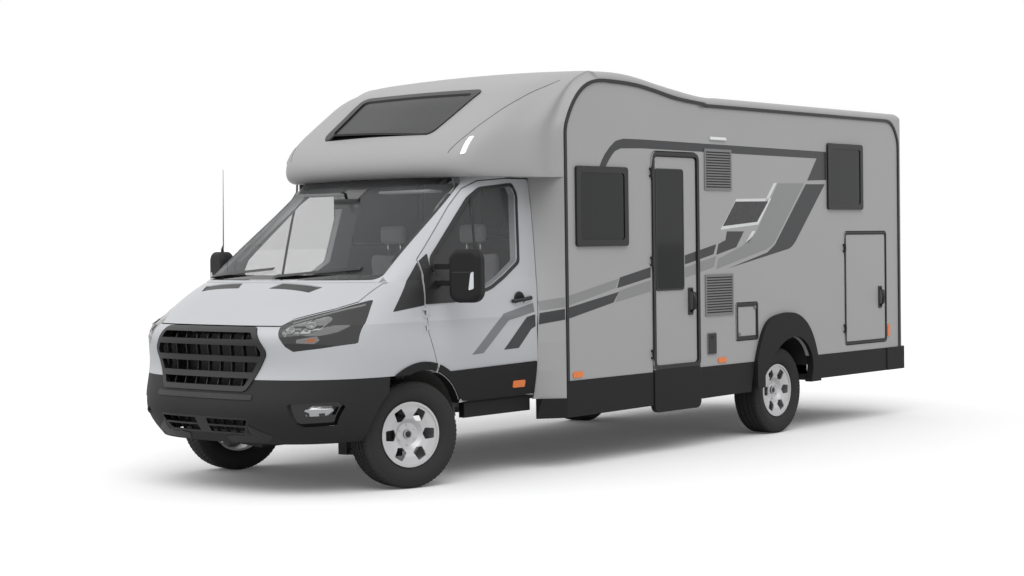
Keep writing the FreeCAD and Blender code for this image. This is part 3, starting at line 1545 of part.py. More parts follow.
# Wheels: profile across the rim as (x, r) from its middle
cover_profile = [(0.0, 62.0), (38.0, 62.0), (38.0, 80.0), (64.0, 108.0), (75.0, 150.0), (79.0, 201.0),
                 (88.0, 201.0), (85.0, 150.0), (73.0, 104.0), (46.0, 76.0), (46.0, 0.0), (40.6, 0.0),
                 (40.6, 30.3), (0.0, 30.3)]
rim_lip = 216.0
rim_lip_width = 5.0
# Corners of a hole in the cover: radius, and turn from the hole's middle in degrees
wheel_hole_corners = [(100.0, 0.0), (124.0, -18.0), (186.0, -10.0), (186.0, 10.0), (124.0, 18.0)]
lug_ring = 64.0
lug_proud = 8.0
cap_proud = 12.0
tyre_bead = 208.3
# Half profile of the tyre: shares of the half width and of the height from bead to tread
tyre_shares = [(0.70, 0.0), (0.745, 0.07), (0.86, 0.16), (0.97, 0.35), (1.0, 0.52), (0.975, 0.72),
               (0.90, 0.90),
               (0.82, 0.968), (0.72, 0.993)]
tread_grooves = [-62.0, -21.0, 21.0, 62.0]
tread_groove = 7.0
tread_depth = 7.0
tread_round = 5.0


def turned_profile(profile):
    """A solid turned about the X axis from (x, r) points."""
    wire = Part.makePolygon([V(x, 0, r) for x, r in profile + profile[:1]])
    return Part.Face(wire).revolve(V(0, 0, 0), V(1, 0, 0), 360)


def tube(x0, x1, outer, inner):
    return rod(V(x0, 0, 0), V(x1, 0, 0), outer).cut(rod(V(x0 - overrun, 0, 0), V(x1 + overrun, 0, 0),
                                                        inner))


def wheel_shape():
    half = rim_width / 2
    inner = rim_radius - rim_wall
    pieces = [turned_profile(cover_profile), tube(-half, half, rim_radius, inner),
              tube(-half - rim_lip_width, -half, rim_lip, inner), tube(half, half + rim_lip_width, rim_lip,
                                                                       inner)]
    face = half - hub_face_depth
    pieces.append(rod(V(face, 0, 0), V(face + cap_proud, 0, 0), cap_radius))
    holes = []
    for i in range(wheel_holes):
        turn = 2 * math.pi * i / wheel_holes
        centre = V(face, lug_ring * math.sin(turn), lug_ring * math.cos(turn))
        pieces.append(rod(centre, centre + V(lug_proud, 0, 0), lug_radius))
        half_turn = math.pi / wheel_holes
        corners = []
        for radius, aside in wheel_hole_corners:
            angle = turn + half_turn + math.radians(aside)
            corners.append(V(0, radius * math.sin(angle), radius * math.cos(angle)))
        wire = flat_wire(corners, lug_radius)
        holes.append(Part.Face(wire).extrude(V(rim_width, 0, 0)))
    return cut_all(joined(pieces), holes)


def tyre_shape():
    rise = tyre_radius - tyre_bead
    half = tyre_width / 2
    right = [V(a * half, 0, tyre_bead + b * rise) for a, b in tyre_shares]
    side = Part.BSplineCurve()
    side.interpolate(right)
    edges = [side.toShape()]
    tread = [right[-1]]
    for middle in reversed(tread_grooves):
        for x, depth in ((middle + tread_groove / 2, 0.0), (middle + tread_groove / 2, tread_depth),
                         (middle - tread_groove / 2, tread_depth), (middle - tread_groove / 2, 0.0)):
            tread.append(V(x, 0, tyre_radius - depth))
    other = [V(-p.x, 0, p.z) for p in right]
    tread.append(other[-1])
    tread[1:1] = [V(right[-1].x - tread_round, 0, tyre_radius)]
    tread[-1:-1] = [V(tread_round - right[-1].x, 0, tyre_radius)]
    edges += [Part.LineSegment(p, q).toShape() for p, q in zip(tread, tread[1:])]
    opposite = Part.BSplineCurve()
    opposite.interpolate(other)
    edges += [opposite.toShape(), Part.LineSegment(other[0], right[0]).toShape()]
    wire = Part.Wire(Part.__sortEdges__(edges))
    return Part.Face(wire).revolve(V(0, 0, 0), V(1, 0, 0), 360)


def wheels():
    rim = wheel_shape()
    tyre = tyre_shape()
    for name, shape in (("wheel", rim), ("tyre", tyre)):
        front = shape.copy()
        front.translate(V(front_track_half, 0, tyre_radius))
        save(name + "_front_left", turned(front))
        save(name + "_front_right", turned_right(front))
        rear = shape.copy()
        rear.translate(V(rear_track_half, wheelbase, tyre_radius))
        save(name + "_rear_left", rear)
        save(name + "_rear_right", mirrored(rear))


# Engine and what hangs below the floor
engine_half = 330.0
engine_front = -640.0
engine_rear = -240.0
engine_top = 1040.0
engine_corner = 40.0


def engine():
    """The engine and gearbox as one plain block, resting on the front rails."""
    body = block(-engine_half, engine_half, engine_front, engine_rear, rail_foot - 2 * overrun, engine_top)
    body = body.makeFillet(engine_corner,
                           [e for e in body.Edges if abs(e.tangentAt(e.FirstParameter).z) > edge_way_share])
    foot = block(-front_rail_inner + seat_gap, front_rail_inner - seat_gap, engine_front + engine_corner,
                 engine_rear - engine_corner, rail_foot - overrun, rail_foot)
    save("engine", body.fuse(foot))


water_tank = [600.0, 1080.0, 3230.0, 3700.0, 380.0]
waste_tank = [-1080.0, -600.0, 1700.0, 3100.0, 400.0]
fuel_tank = [-440.0, 100.0, 1600.0, 2100.0, 330.0]
silencer = [140.0, 380.0, 2450.0, 3150.0, 330.0]
tank_corner = 40.0


def underfloor_tanks():
    """Tanks and silencer hung below the floor's bearers and rails."""
    pieces = []
    for limits in (water_tank, waste_tank, fuel_tank, silencer):
        x0, x1, y0, y1, low = limits
        high = rail_foot if max(abs(x0), abs(x1)) < rail_inner else rail_top - member_width
        body = block(x0, x1, y0, y1, low, high - seat_gap)
        body = body.makeFillet(tank_corner,
                               [e for e in body.Edges
                                if abs(e.tangentAt(e.FirstParameter).z) > edge_way_share])
        pieces.append(body)
    save("underfloor_tanks", *pieces)


# Wipers: bars lying on the screen
wiper_width = 18.0
wiper_lines = [((-700.0, 1396.0), (-40.0, 1446.0)), ((60.0, 1396.0), (700.0, 1446.0))]
wiper_near = 3.0
wiper_far = 11.0


def wipers():
    pieces = []
    for (x0, z0), (x1, z1) in wiper_lines:
        bar = nose_prism([(x0, z0), (x1, z1), (x1, z1 + wiper_width), (x0, z0 + wiper_width)], 0.0, 0.0,
                         0.0)
        pieces.append(cab_layer(bar, -wiper_far, -wiper_near))
        low = z0 - wiper_width / 3
        foot = nose_prism([(x0, low), (x0 + 2 * wiper_width, low), (x0 + 2 * wiper_width, z0 + wiper_width),
                           (x0, z0 + wiper_width)], 0.0, 0.0, 0.0)
        pieces.append(cab_layer(foot, -wiper_far, -seat_gap))
    save("wipers", joined(pieces[:2]), joined(pieces[2:]))


# Dashboard, steering wheel and cab seats
dash_outline = [(-189.7, 1000.0), (-189.7, 1270.0), (60.0, 1310.0), (300.0, 1280.0), (400.0, 1190.0),
                (360.0, 900.0), (60.0, 820.0)]
dash_half = 880.0
dash_inset = 74.0
dash_corner = 20.0
column_radius = 34.0
wheel_side = -380.0
steering_station = 505.0
steering_height = 1200.0
steering_radius = 190.0
steering_rim = 15.0
steering_hub = 60.0
steering_hub_depth = 44.0
steering_slope = 38.0
spoke_width = 34.0
spoke_turns = [90.0, 210.0, 330.0]
column_bore = 16.0
column_pin = 15.7


def steering_way():
    slope = math.radians(steering_slope)
    return V(0, math.sin(slope), math.cos(slope))


def dashboard():
    body = side_prism(dash_outline, -dash_half, dash_half, dash_corner).common(cab_form(dash_inset))
    centre = V(wheel_side, steering_station, steering_height)
    way = steering_way()
    column = rod(centre - way * column_length, centre - way * steering_hub_depth, column_radius)
    bore = rod(centre - way * steering_hub_depth * 2, centre, column_bore)
    save("dashboard", joined([body, column]).cut(bore))


column_length = 180.0


def steering_wheel():
    centre = V(wheel_side, steering_station, steering_height)
    way = steering_way()
    ring = Part.makeTorus(steering_radius, steering_rim, V(0, 0, 0), V(0, 0, 1))
    hub = rod(V(0, 0, -steering_hub_depth + seat_gap), V(0, 0, steering_rim), steering_hub)
    pin = rod(V(0, 0, -steering_hub_depth * 2 + seat_gap), V(0, 0, 0), column_pin)
    pieces = [hub, pin, ring]
    for turn in spoke_turns:
        spoke = block(0, steering_radius, -spoke_width / 2, spoke_width / 2, -steering_rim / 2,
                      steering_rim / 2)
        spoke.rotate(V(0, 0, 0), V(0, 0, 1), turn)
        pieces.append(spoke)
    whole = joined(pieces)
    whole.rotate(V(0, 0, 0), V(1, 0, 0), -steering_slope)
    whole.translate(centre)
    save("steering_wheel", whole)


seat_middle = 400.0
seat_half = 250.0
seat_front = 760.0
seat_rear = 1240.0
seat_foot = 860.0
seat_top = 985.0
seat_back_thick = 130.0
seat_back_top = 1560.0
seat_corner = 45.0
pedestal_half = 190.0
headrest_half = 130.0
headrest_foot = 1600.0
headrest_top = 1760.0
headrest_pin = 8.0


def cab_seats():
    """Two seats on pedestals, each with a back and a headrest on pins."""
    cushion = block(seat_middle - seat_half, seat_middle + seat_half, seat_front, seat_rear, seat_foot,
                    seat_top)
    back = block(seat_middle - seat_half, seat_middle + seat_half, seat_rear - seat_back_thick / 2,
                 seat_rear + seat_back_thick / 2, seat_foot, seat_back_top)
    back = back.makeFillet(seat_corner,
                           [e for e in back.Edges if abs(e.tangentAt(e.FirstParameter).y) > edge_way_share])
    head = block(seat_middle - headrest_half, seat_middle + headrest_half, seat_rear - seat_back_thick / 2,
                 seat_rear + seat_back_thick / 3, headrest_foot, headrest_top)
    head = head.makeFillet(seat_corner,
                           [e for e in head.Edges if abs(e.tangentAt(e.FirstParameter).y) > edge_way_share])
    pedestal = block(seat_middle - pedestal_half, seat_middle + pedestal_half, seat_front + seat_corner,
                     seat_rear - seat_corner, cab_floor_top + seat_gap, seat_foot)
    pieces = [cushion, back, head, pedestal]
    for side in (-1, 1):
        foot = V(seat_middle + side * headrest_half / 2, seat_rear, seat_back_top - seat_corner)
        pieces.append(rod(foot, foot + V(0, 0, headrest_foot - seat_back_top + 2 * seat_corner),
                          headrest_pin))
    save("cab_seats", both(joined(pieces)))


# Furniture of the living space
bed_front = 5080.0
bed_height = 1560.0
bed_thick = 60.0
bed_mattress = 120.0
kitchen_front = 2500.0
kitchen_rear = 3700.0
kitchen_depth = 520.0
kitchen_top = 1560.0
bench_front = 1500.0
bench_rear = 2100.0
bench_depth = 900.0
bench_height = 1080.0
room_gap = 0.3


def furniture():
    """Bed over the locker, kitchen block along the right wall and a bench by the entry."""
    half = inside_half - room_gap
    floor = coach_floor_top + room_gap
    rear = coach_rear - 2 * cap_corner
    bed = block(-half, half, bed_front, rear, bed_height, bed_height + bed_thick + bed_mattress)
    leg = block(-half, half, bed_front, bed_front + bed_thick, wheel_box_top, bed_height)
    legs = block(-wheel_box_inner + bed_thick, wheel_box_inner - bed_thick, bed_front,
                 bed_front + bed_thick, floor,
                 wheel_box_top)
    kitchen = block(-half, -half + kitchen_depth, kitchen_front, kitchen_rear, floor, kitchen_top)
    bench = block(-half, -half + bench_depth, bench_front, bench_rear, floor, bench_height)
    save("furniture", joined([bed, leg, legs]), kitchen, bench)


os.makedirs("parts", exist_ok=True)
roof()
rooflights()
overcab()
cab_doors()
mirrors()
bonnet()
windscreen()
front_lamps()
grille()
bumper()
cab_shell()
front_arch_trims()
cab_floor()
sills()
corner_panels()
side_walls()
body_windows()
wall_vents()
entry_door()
locker_door()
service_hatch()
skirts()
rear_arch_trims()
edge_trims()
rear_cap()
rear_bumper()
rear_lamps()
number_plate()
marker_lamps()
coach_floor()
chassis()
rear_axle()
knuckles()
front_suspension()
wheels()
engine()
underfloor_tanks()
wipers()
dashboard()
steering_wheel()
cab_seats()
furniture()
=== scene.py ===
import math

import bmesh
import bpy
from mathutils import Matrix, Vector
from mathutils.bvhtree import BVHTree


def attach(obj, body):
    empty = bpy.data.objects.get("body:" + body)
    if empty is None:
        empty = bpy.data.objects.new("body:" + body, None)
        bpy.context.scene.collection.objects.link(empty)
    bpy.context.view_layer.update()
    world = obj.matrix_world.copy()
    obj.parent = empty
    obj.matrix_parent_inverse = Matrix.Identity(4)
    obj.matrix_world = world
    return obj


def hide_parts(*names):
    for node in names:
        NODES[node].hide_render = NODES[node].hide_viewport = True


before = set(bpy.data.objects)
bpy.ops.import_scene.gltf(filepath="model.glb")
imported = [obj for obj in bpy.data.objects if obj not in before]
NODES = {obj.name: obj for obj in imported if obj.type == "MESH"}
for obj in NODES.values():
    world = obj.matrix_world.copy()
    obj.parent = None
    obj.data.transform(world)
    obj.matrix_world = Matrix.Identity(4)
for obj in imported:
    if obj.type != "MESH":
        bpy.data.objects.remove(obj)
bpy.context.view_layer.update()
# Places along the part are counted from the front axle, and moved by SHIFT; the rear axle is at AXLE
SHIFT = -2.665
AXLE = 4.25
LEFT, RIGHT = 1, -1
SIDES = ((LEFT, "left"), (RIGHT, "right"))
WHEEL_HEIGHT = 0.356


# Materials
def add(tree, kind, **values):
    node = tree.nodes.new(kind)
    for key, value in values.items():
        if key in node.inputs:
            node.inputs[key].default_value = value
        else:
            setattr(node, key, value)
    return node


def finish_mat(name, low, high, rough, spread, grain, bump, size, shader=(), kind="noise", blotch=1.6):
    """A procedural finish: colour between two tones, roughness that varies, and a fine relief."""
    mat = bpy.data.materials.new(name)
    mat.use_nodes = True
    tree = mat.node_tree
    out = tree.nodes["Principled BSDF"]
    for key, value in dict(shader).items():
        out.inputs[key].default_value = value
    place = add(tree, "ShaderNodeTexCoord")
    tone = add(tree, "ShaderNodeTexNoise", Scale=blotch, Detail=3.0)
    ramp = add(tree, "ShaderNodeMix", data_type="RGBA")
    ramp.inputs["A"].default_value = (*low, 1)
    ramp.inputs["B"].default_value = (*high, 1)
    tree.links.new(place.outputs["Object"], tone.inputs["Vector"])
    tree.links.new(tone.outputs["Fac"], ramp.inputs["Factor"])
    tree.links.new(ramp.outputs["Result"], out.inputs["Base Color"])
    if kind == "noise":
        fine = add(tree, "ShaderNodeTexNoise", Scale=grain, Detail=2.0)
        height = fine.outputs["Fac"]
    elif kind == "cells":
        fine = add(tree, "ShaderNodeTexVoronoi", Scale=grain)
        height = fine.outputs["Distance"]
    else:
        fine = add(tree, "ShaderNodeTexWave", Scale=grain, Distortion=0.4)
        fine.wave_type = "BANDS"
        fine.bands_direction = "DIAGONAL"
        height = fine.outputs["Fac"]
    tree.links.new(place.outputs["Object"], fine.inputs["Vector"])
    span = add(tree, "ShaderNodeMapRange")
    span.inputs["To Min"].default_value = max(rough - spread, 0.0)
    span.inputs["To Max"].default_value = min(rough + spread, 1.0)
    tree.links.new(height, span.inputs["Value"])
    tree.links.new(span.outputs["Result"], out.inputs["Roughness"])
    relief = add(tree, "ShaderNodeBump", Strength=bump, Distance=size)
    tree.links.new(height, relief.inputs["Height"])
    tree.links.new(relief.outputs["Normal"], out.inputs["Normal"])
    return mat


def plain(value, factor=1.0):
    return tuple(channel * factor for channel in value)


def tones(value, width=0.04):
    return plain(value, 1 - width), plain(value, 1 + width)


PAINT = {"Metallic": 0.12, "Coat Weight": 0.22, "Coat Roughness": 0.12}
CAB = finish_mat("cab_paint", *tones((0.50, 0.51, 0.53)), 0.42, 0.03, 1400, 0.03, 0.0004, PAINT)
COACH = finish_mat("coach_paint", *tones((0.385, 0.385, 0.385), 0.03), 0.5, 0.03, 1200, 0.03, 0.0004,
                   {"Coat Weight": 0.1, "Coat Roughness": 0.2})
OVER = finish_mat("overcab_paint", *tones((0.375, 0.375, 0.375), 0.03), 0.55, 0.03, 1200, 0.03, 0.0004,
                  {"Coat Weight": 0.08, "Coat Roughness": 0.25})
BLACK = finish_mat("black_plastic", *tones((0.009, 0.009, 0.010), 0.12), 0.62, 0.1, 900, 0.25, 0.0004,
                   {"Specular IOR Level": 0.3}, kind="cells")
BUMPER = finish_mat("bumper_black", *tones((0.018, 0.018, 0.019), 0.12), 0.6, 0.1, 900, 0.25, 0.0004,
                    {"Specular IOR Level": 0.3}, kind="cells")
SATIN = finish_mat("satin_black", *tones((0.011, 0.011, 0.012), 0.1), 0.42, 0.06, 700, 0.05, 0.0003)
GLOSS = finish_mat("gloss_black", *tones((0.008, 0.008, 0.009), 0.1), 0.09, 0.03, 300, 0.01, 0.0003,
                   {"Coat Weight": 0.6})
DARK = finish_mat("dark_glass", *tones((0.009, 0.010, 0.011), 0.1), 0.05, 0.02, 60, 0.004, 0.0004,
                  {"Specular IOR Level": 0.3})
ROOF_GLASS = finish_mat("roof_glass", *tones((0.012, 0.0125, 0.013), 0.1), 0.25, 0.03, 60, 0.004, 0.0004,
                        {"Specular IOR Level": 0.25})
# Windscreen and door glass: the faint grey base shown at one fifth opacity is painted reflection of the
# surroundings, added to the glass's real gloss
GLASS_WITH_PAINTED_REFLECTION = finish_mat("screen_glass_painted_reflection", *tones((0.16, 0.165, 0.17), 0.03), 0.04, 0.015, 40, 0.003, 0.0004,
                   {"Alpha": 0.2, "Specular IOR Level": 0.6})
LAMP_GREY = finish_mat("lamp_reflector", *tones((0.17, 0.172, 0.175), 0.25), 0.2, 0.08, 240, 0.2, 0.0006,
                       {"Metallic": 0.5, "Coat Weight": 0.8}, kind="cells", blotch=40)
LAMP_DARK = finish_mat("lamp_bezel", *tones((0.012, 0.012, 0.013), 0.2), 0.16, 0.05, 200, 0.05, 0.0004,
                       {"Coat Weight": 0.7})
SEAM = finish_mat("joint_shadow", *tones((0.05, 0.05, 0.05), 0.1), 0.8, 0.1, 300, 0.05, 0.0003)
LINER_MAT = finish_mat("arch_liner", *tones((0.012, 0.012, 0.012), 0.2), 0.9, 0.08, 120, 0.4, 0.001)
LENS = finish_mat("lamp_lens", *tones((0.75, 0.77, 0.79), 0.04), 0.07, 0.02, 260, 0.12, 0.0006,
                  {"Coat Weight": 0.7, "Metallic": 0.4}, kind="cells")
CHROME = finish_mat("bright_metal", *tones((0.83, 0.84, 0.85), 0.03), 0.12, 0.04, 500, 0.02, 0.0003,
                    {"Metallic": 1.0})
AMBER = finish_mat("amber_lens", *tones((0.86, 0.20, 0.02), 0.08), 0.14, 0.04, 320, 0.18, 0.0006,
                   {"Coat Weight": 0.6}, kind="cells")
AMBER_DEEP = finish_mat("amber_deep", *tones((0.32, 0.10, 0.03), 0.1), 0.2, 0.04, 320, 0.15, 0.0006,
                        {"Coat Weight": 0.6}, kind="cells")
FOG = finish_mat("fog_glass", *tones((0.42, 0.43, 0.44), 0.06), 0.12, 0.03, 260, 0.15, 0.0006,
                 {"Coat Weight": 0.7, "Metallic": 0.4}, kind="cells")
RED = finish_mat("red_lens", *tones((0.42, 0.012, 0.012), 0.1), 0.14, 0.04, 320, 0.18, 0.0006,
                 {"Coat Weight": 0.6}, kind="cells")
RUBBER = finish_mat("tyre_rubber", *tones((0.030, 0.030, 0.031), 0.18), 0.8, 0.1, 420, 0.3, 0.0005,
                    {"Specular IOR Level": 0.3})
SEAL = finish_mat("seal_rubber", *tones((0.010, 0.010, 0.011), 0.15), 0.55, 0.08, 500, 0.15, 0.0004)
ALLOY = finish_mat("wheel_silver", *tones((0.60, 0.60, 0.61), 0.03), 0.36, 0.04, 900, 0.03, 0.0003,
                   {"Metallic": 0.3, "Coat Weight": 0.25})
FRAME_BLACK = finish_mat("chassis_black", *tones((0.02, 0.02, 0.02), 0.2), 0.6, 0.15, 160, 0.2, 0.001)
IRON = finish_mat("cast_iron", *tones((0.09, 0.09, 0.095), 0.2), 0.6, 0.15, 240, 0.4, 0.001,
                  {"Metallic": 0.6})
FLOOR_MAT = finish_mat("floor_lining", *tones((0.10, 0.095, 0.09), 0.15), 0.8, 0.1, 300, 0.3, 0.0008)
TRIM = finish_mat("cabin_plastic", *tones((0.05, 0.051, 0.055), 0.12), 0.6, 0.08, 800, 0.25, 0.0004,
                  kind="cells")
CLOTH = finish_mat("seat_cloth", *tones((0.42, 0.42, 0.43), 0.1), 0.92, 0.05, 420, 0.5, 0.0008,
                   {"Sheen Weight": 0.3}, kind="weave")
OAK = finish_mat("veneer", (0.22, 0.15, 0.09), (0.33, 0.235, 0.145), 0.5, 0.08, 30, 0.1, 0.0005,
                 kind="weave", blotch=6)
GREY = finish_mat("grey_plastic", *tones((0.20, 0.20, 0.205), 0.06), 0.5, 0.06, 800, 0.12, 0.0004,
                  kind="cells")
PLATE = finish_mat("plate_blank", *tones((0.70, 0.70, 0.66), 0.03), 0.35, 0.05, 500, 0.05, 0.0003)
STRIPE_DARK = finish_mat("stripe_dark", *tones((0.032, 0.033, 0.036), 0.05), 0.33, 0.03, 900, 0.02, 0.0003)
STRIPE_LIGHT = finish_mat("stripe_grey", *tones((0.26, 0.262, 0.266), 0.04), 0.33, 0.03, 900, 0.02, 0.0003)
STRIPE_CAB = finish_mat("stripe_cab_grey", *tones((0.19, 0.193, 0.20), 0.04), 0.33, 0.03, 900, 0.02, 0.0003)
STRIPE_WHITE = finish_mat("stripe_white", *tones((0.72, 0.73, 0.74), 0.02), 0.33, 0.03, 900, 0.02, 0.0003)
STRIPE_MESH = finish_mat("stripe_weave", (0.012, 0.012, 0.013), (0.06, 0.06, 0.065), 0.35, 0.05, 60, 0.05,
                         0.0004, kind="weave", blotch=40)

FINISH = {
    CAB: "bonnet cab_door_left cab_door_right cab_shell",
    COACH: "side_wall_left side_wall_right roof rear_cap entry_door locker_door service_hatch corner_panels",
    OVER: "overcab_shell",
    GLASS_WITH_PAINTED_REFLECTION: "windscreen door_glass_left door_glass_right",
    ROOF_GLASS: "overcab_window",
    DARK: "window_panes entry_window",
    GLOSS: "front_lamps",
    RED: "rear_lamps",
    AMBER: "marker_lamps",
    BUMPER: "front_bumper",
    BLACK: "front_arch_trims side_sills skirts rear_arch_trims rear_bumper mirror_left mirror_right",
    SATIN: "grille edge_trims window_frames wipers",
    GREY: "wall_vents rooflights",
    PLATE: "number_plate",
    FRAME_BLACK: "chassis_frame front_suspension rear_axle knuckle_left knuckle_right underfloor_tanks",
    IRON: "engine",
    FLOOR_MAT: "cab_floor coach_floor",
    TRIM: "dashboard steering_wheel",
    CLOTH: "cab_seats",
    OAK: "furniture",
    ALLOY: "wheel_front_left wheel_front_right wheel_rear_left wheel_rear_right",
    RUBBER: "tyre_front_left tyre_front_right tyre_rear_left tyre_rear_right",
}
for material, names in FINISH.items():
    for name in names.split():
        node = NODES[name]
        node.data.materials.clear()
        node.data.materials.append(material)


# Faces of rims and hinges beyond PROUD, the door rims below DOOR_RIM and within ARCH_RIM of the wheel
PROUD = 1.1553
SKIRT_LINE = 0.636
DOOR_RIM = 0.56
ARCH_RIM = 0.431


def second_finish(name, mat, covers):
    """Some faces of a CAD node in another finish."""
    data = NODES[name].data
    data.materials.append(mat)
    for face in data.polygons:
        if covers(face.center):
            face.material_index = 1


for name in ("side_wall_left", "locker_door", "service_hatch"):
    second_finish(name, SATIN, lambda spot: spot.x > PROUD)
second_finish("entry_door", SATIN, lambda spot: spot.x > PROUD or spot.z < SKIRT_LINE)
for name in ("cab_door_left", "cab_door_right"):
    second_finish(name, BLACK, lambda spot: spot.z < DOOR_RIM
                  or math.hypot(spot.y - SHIFT, spot.z - WHEEL_HEIGHT) < ARCH_RIM)


# Mesh helpers
def piece(name, verts, faces, mat, body, smooth=False, bevel=0.0):
    data = bpy.data.meshes.new(name)
    data.from_pydata(verts, [], faces)
    data.validate()
    shape = bmesh.new()
    shape.from_mesh(data)
    bmesh.ops.recalc_face_normals(shape, faces=shape.faces[:])
    shape.to_mesh(data)
    shape.free()
    for face in data.polygons:
        face.use_smooth = smooth
    obj = bpy.data.objects.new(name, data)
    bpy.context.scene.collection.objects.link(obj)
    data.materials.append(mat)
    if bevel:
        soft = obj.modifiers.new("soft", "BEVEL")
        soft.width = bevel
        soft.segments = 2
        soft.limit_method = "ANGLE"
    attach(obj, body)
    return obj


def rounded(points, radius, steps=4):
    """The outline with each corner turned into an arc."""
    line = []
    count = len(points)
    for i, corner in enumerate(points):
        corner = Vector(corner)
        back = Vector(points[i - 1]) - corner
        ahead = Vector(points[(i + 1) % count]) - corner
        reach = min(radius, back.length * 0.45, ahead.length * 0.45)
        start = corner + back.normalized() * reach
        end = corner + ahead.normalized() * reach
        for step in range(steps + 1):
            t = step / steps
            line.append(tuple(start * (1 - t) ** 2 + corner * 2 * t * (1 - t) + end * t ** 2))
    return line


def rect(u0, u1, v0, v1, radius=0.0):
    points = [(u0, v0), (u1, v0), (u1, v1), (u0, v1)]
    return rounded(points, radius) if radius else points


def grown(points, distance):
    """The outline moved outwards, for outlines that run anticlockwise."""
    line = []
    count = len(points)
    area = sum(points[i - 1][0] * points[i][1] - points[i][0] * points[i - 1][1] for i in range(count))
    sign = 1 if area > 0 else -1
    for i, corner in enumerate(points):
        before, after = Vector(points[i - 1]), Vector(points[(i + 1) % count])
        a = (Vector(corner) - before).normalized()
        b = (after - Vector(corner)).normalized()
        out = Vector((a.y + b.y, -a.x - b.x)) * sign
        if out.length < 1e-6:
            out = Vector((a.y, -a.x)) * sign
        out.normalize()
        share = max(0.4, math.sqrt(max((1 + a.dot(b)) / 2, 0.0)))
        line.append(tuple(Vector(corner) + out * distance / share))
    return line


skins = {}


def skin_of(names):
    if names not in skins:
        verts, faces = [], []
        for name in names.split():
            data = NODES[name].data
            start = len(verts)
            verts += [v.co.copy() for v in data.vertices]
            faces += [[start + i for i in f.vertices] for f in data.polygons]
        skins[names] = BVHTree.FromPolygons(verts, faces)
    return skins[names]


# Rays from outside the part: start and direction for an outline's point, by the way of looking
WAYS = {"x": lambda u, v, side: (Vector((side * 3, u + SHIFT, v)), Vector((-side, 0, 0))),
        "front": lambda u, v, side: (Vector((side * u, -9, v)), Vector((0, 1, 0))),
        "rear": lambda u, v, side: (Vector((side * u, 9, v)), Vector((0, -1, 0))),
        "top": lambda u, v, side: (Vector((side * u, v + SHIFT, 5)), Vector((0, 0, -1)))}


STRAY = 0.35


def patch(name, outline, way, names, mat, body, lift=0.0006, sink=0.002, cell=0.03, holes=(), side=LEFT,
          bevel=0.0, smooth=False):
    """A panel with an outline, laid on the skin of CAD nodes by looking along a way."""
    shape = bmesh.new()
    for loop in [outline] + list(holes):
        ring = [shape.verts.new((u, v, 0)) for u, v in loop]
        for a, b in zip(ring, ring[1:] + ring[:1]):
            shape.edges.new((a, b))
    bmesh.ops.triangle_fill(shape, use_beauty=True, use_dissolve=False, edges=shape.edges[:])
    for axis in (0, 1):
        low = min(p[axis] for p in outline)
        high = max(p[axis] for p in outline)
        cells = int((high - low) / cell) + 1
        for i in range(1, cells):
            at = [0.0, 0.0, 0.0]
            no = [0.0, 0.0, 0.0]
            at[axis] = low + i * (high - low) / cells
            no[axis] = 1.0
            bmesh.ops.bisect_plane(shape, geom=shape.verts[:] + shape.edges[:] + shape.faces[:],
                                   plane_co=at, plane_no=no)
    tree = skin_of(names)
    shape.verts.ensure_lookup_table()
    rays, depths = [], []
    for v in shape.verts:
        origin, direction = WAYS[way](v.co.x, v.co.y, side)
        hit = tree.ray_cast(origin, direction)[0]
        rays.append((origin, direction))
        depths.append(None if hit is None else (hit - origin).dot(direction))
    known = sorted(depth for depth in depths if depth is not None)
    if not known:
        raise RuntimeError("no skin behind " + name)
    middle = known[len(known) // 2]
    sure = [i for i, depth in enumerate(depths) if depth is not None and abs(depth - middle) <= STRAY]
    tops, feet = [], []
    for i, (origin, direction) in enumerate(rays):
        far = depths[i]
        if far is None or abs(far - middle) > STRAY:
            # Past the skin's edge: as deep as the nearest point on it
            far = depths[min(sure, key=lambda j: (shape.verts[i].co - shape.verts[j].co).length)]
        spot = origin + direction * far
        tops.append(spot - direction * lift)
        feet.append(spot + direction * sink)
    count = len(tops)
    faces = [[v.index for v in f.verts] for f in shape.faces]
    whole = list(faces) + [[i + count for i in reversed(f)] for f in faces]
    for edge in shape.edges:
        if len(edge.link_faces) == 1:
            a, b = (v.index for v in edge.verts)
            whole.append([a, b, b + count, a + count])
    shape.free()
    return piece(name, tops + feet, whole, mat, body, smooth, bevel)


def both(name, outline, way, names, mat, body, **rest):
    """The same panel on the left and right; %s in a name becomes the side."""
    for side, word in SIDES:
        patch(name + "_" + word, outline, way, names.replace("%s", word), mat, body.replace("%s", word),
              side=side, **rest)


def ring(name, outer, inner, x0, x1, mat, body, bevel=0.0):
    """A flat frame between two outlines of (y, z) with as many points, standing from x0 to x1."""
    count = len(outer)
    verts = []
    for x in (x0, x1):
        for line in (outer, inner):
            verts += [(x, y + SHIFT, z) for y, z in line]
    faces = []
    for i in range(count):
        j = (i + 1) % count
        faces.append([i, j, j + count, i + count])
        faces.append([2 * count + i, 3 * count + i, 3 * count + j, 2 * count + j])
        faces.append([i, i + 2 * count, j + 2 * count, j])
        faces.append([i + count, j + count, j + 3 * count, i + 3 * count])
    return piece(name, verts, faces, mat, body, bevel=bevel)


def frame_pair(y0, y1, z0, z1, corner, width):
    """Outer and inner outlines of a frame of one width."""
    return (rect(y0, y1, z0, z1, corner),
            rect(y0 + width, y1 - width, z0 + width, z1 - width, max(corner - width, 0.004)))


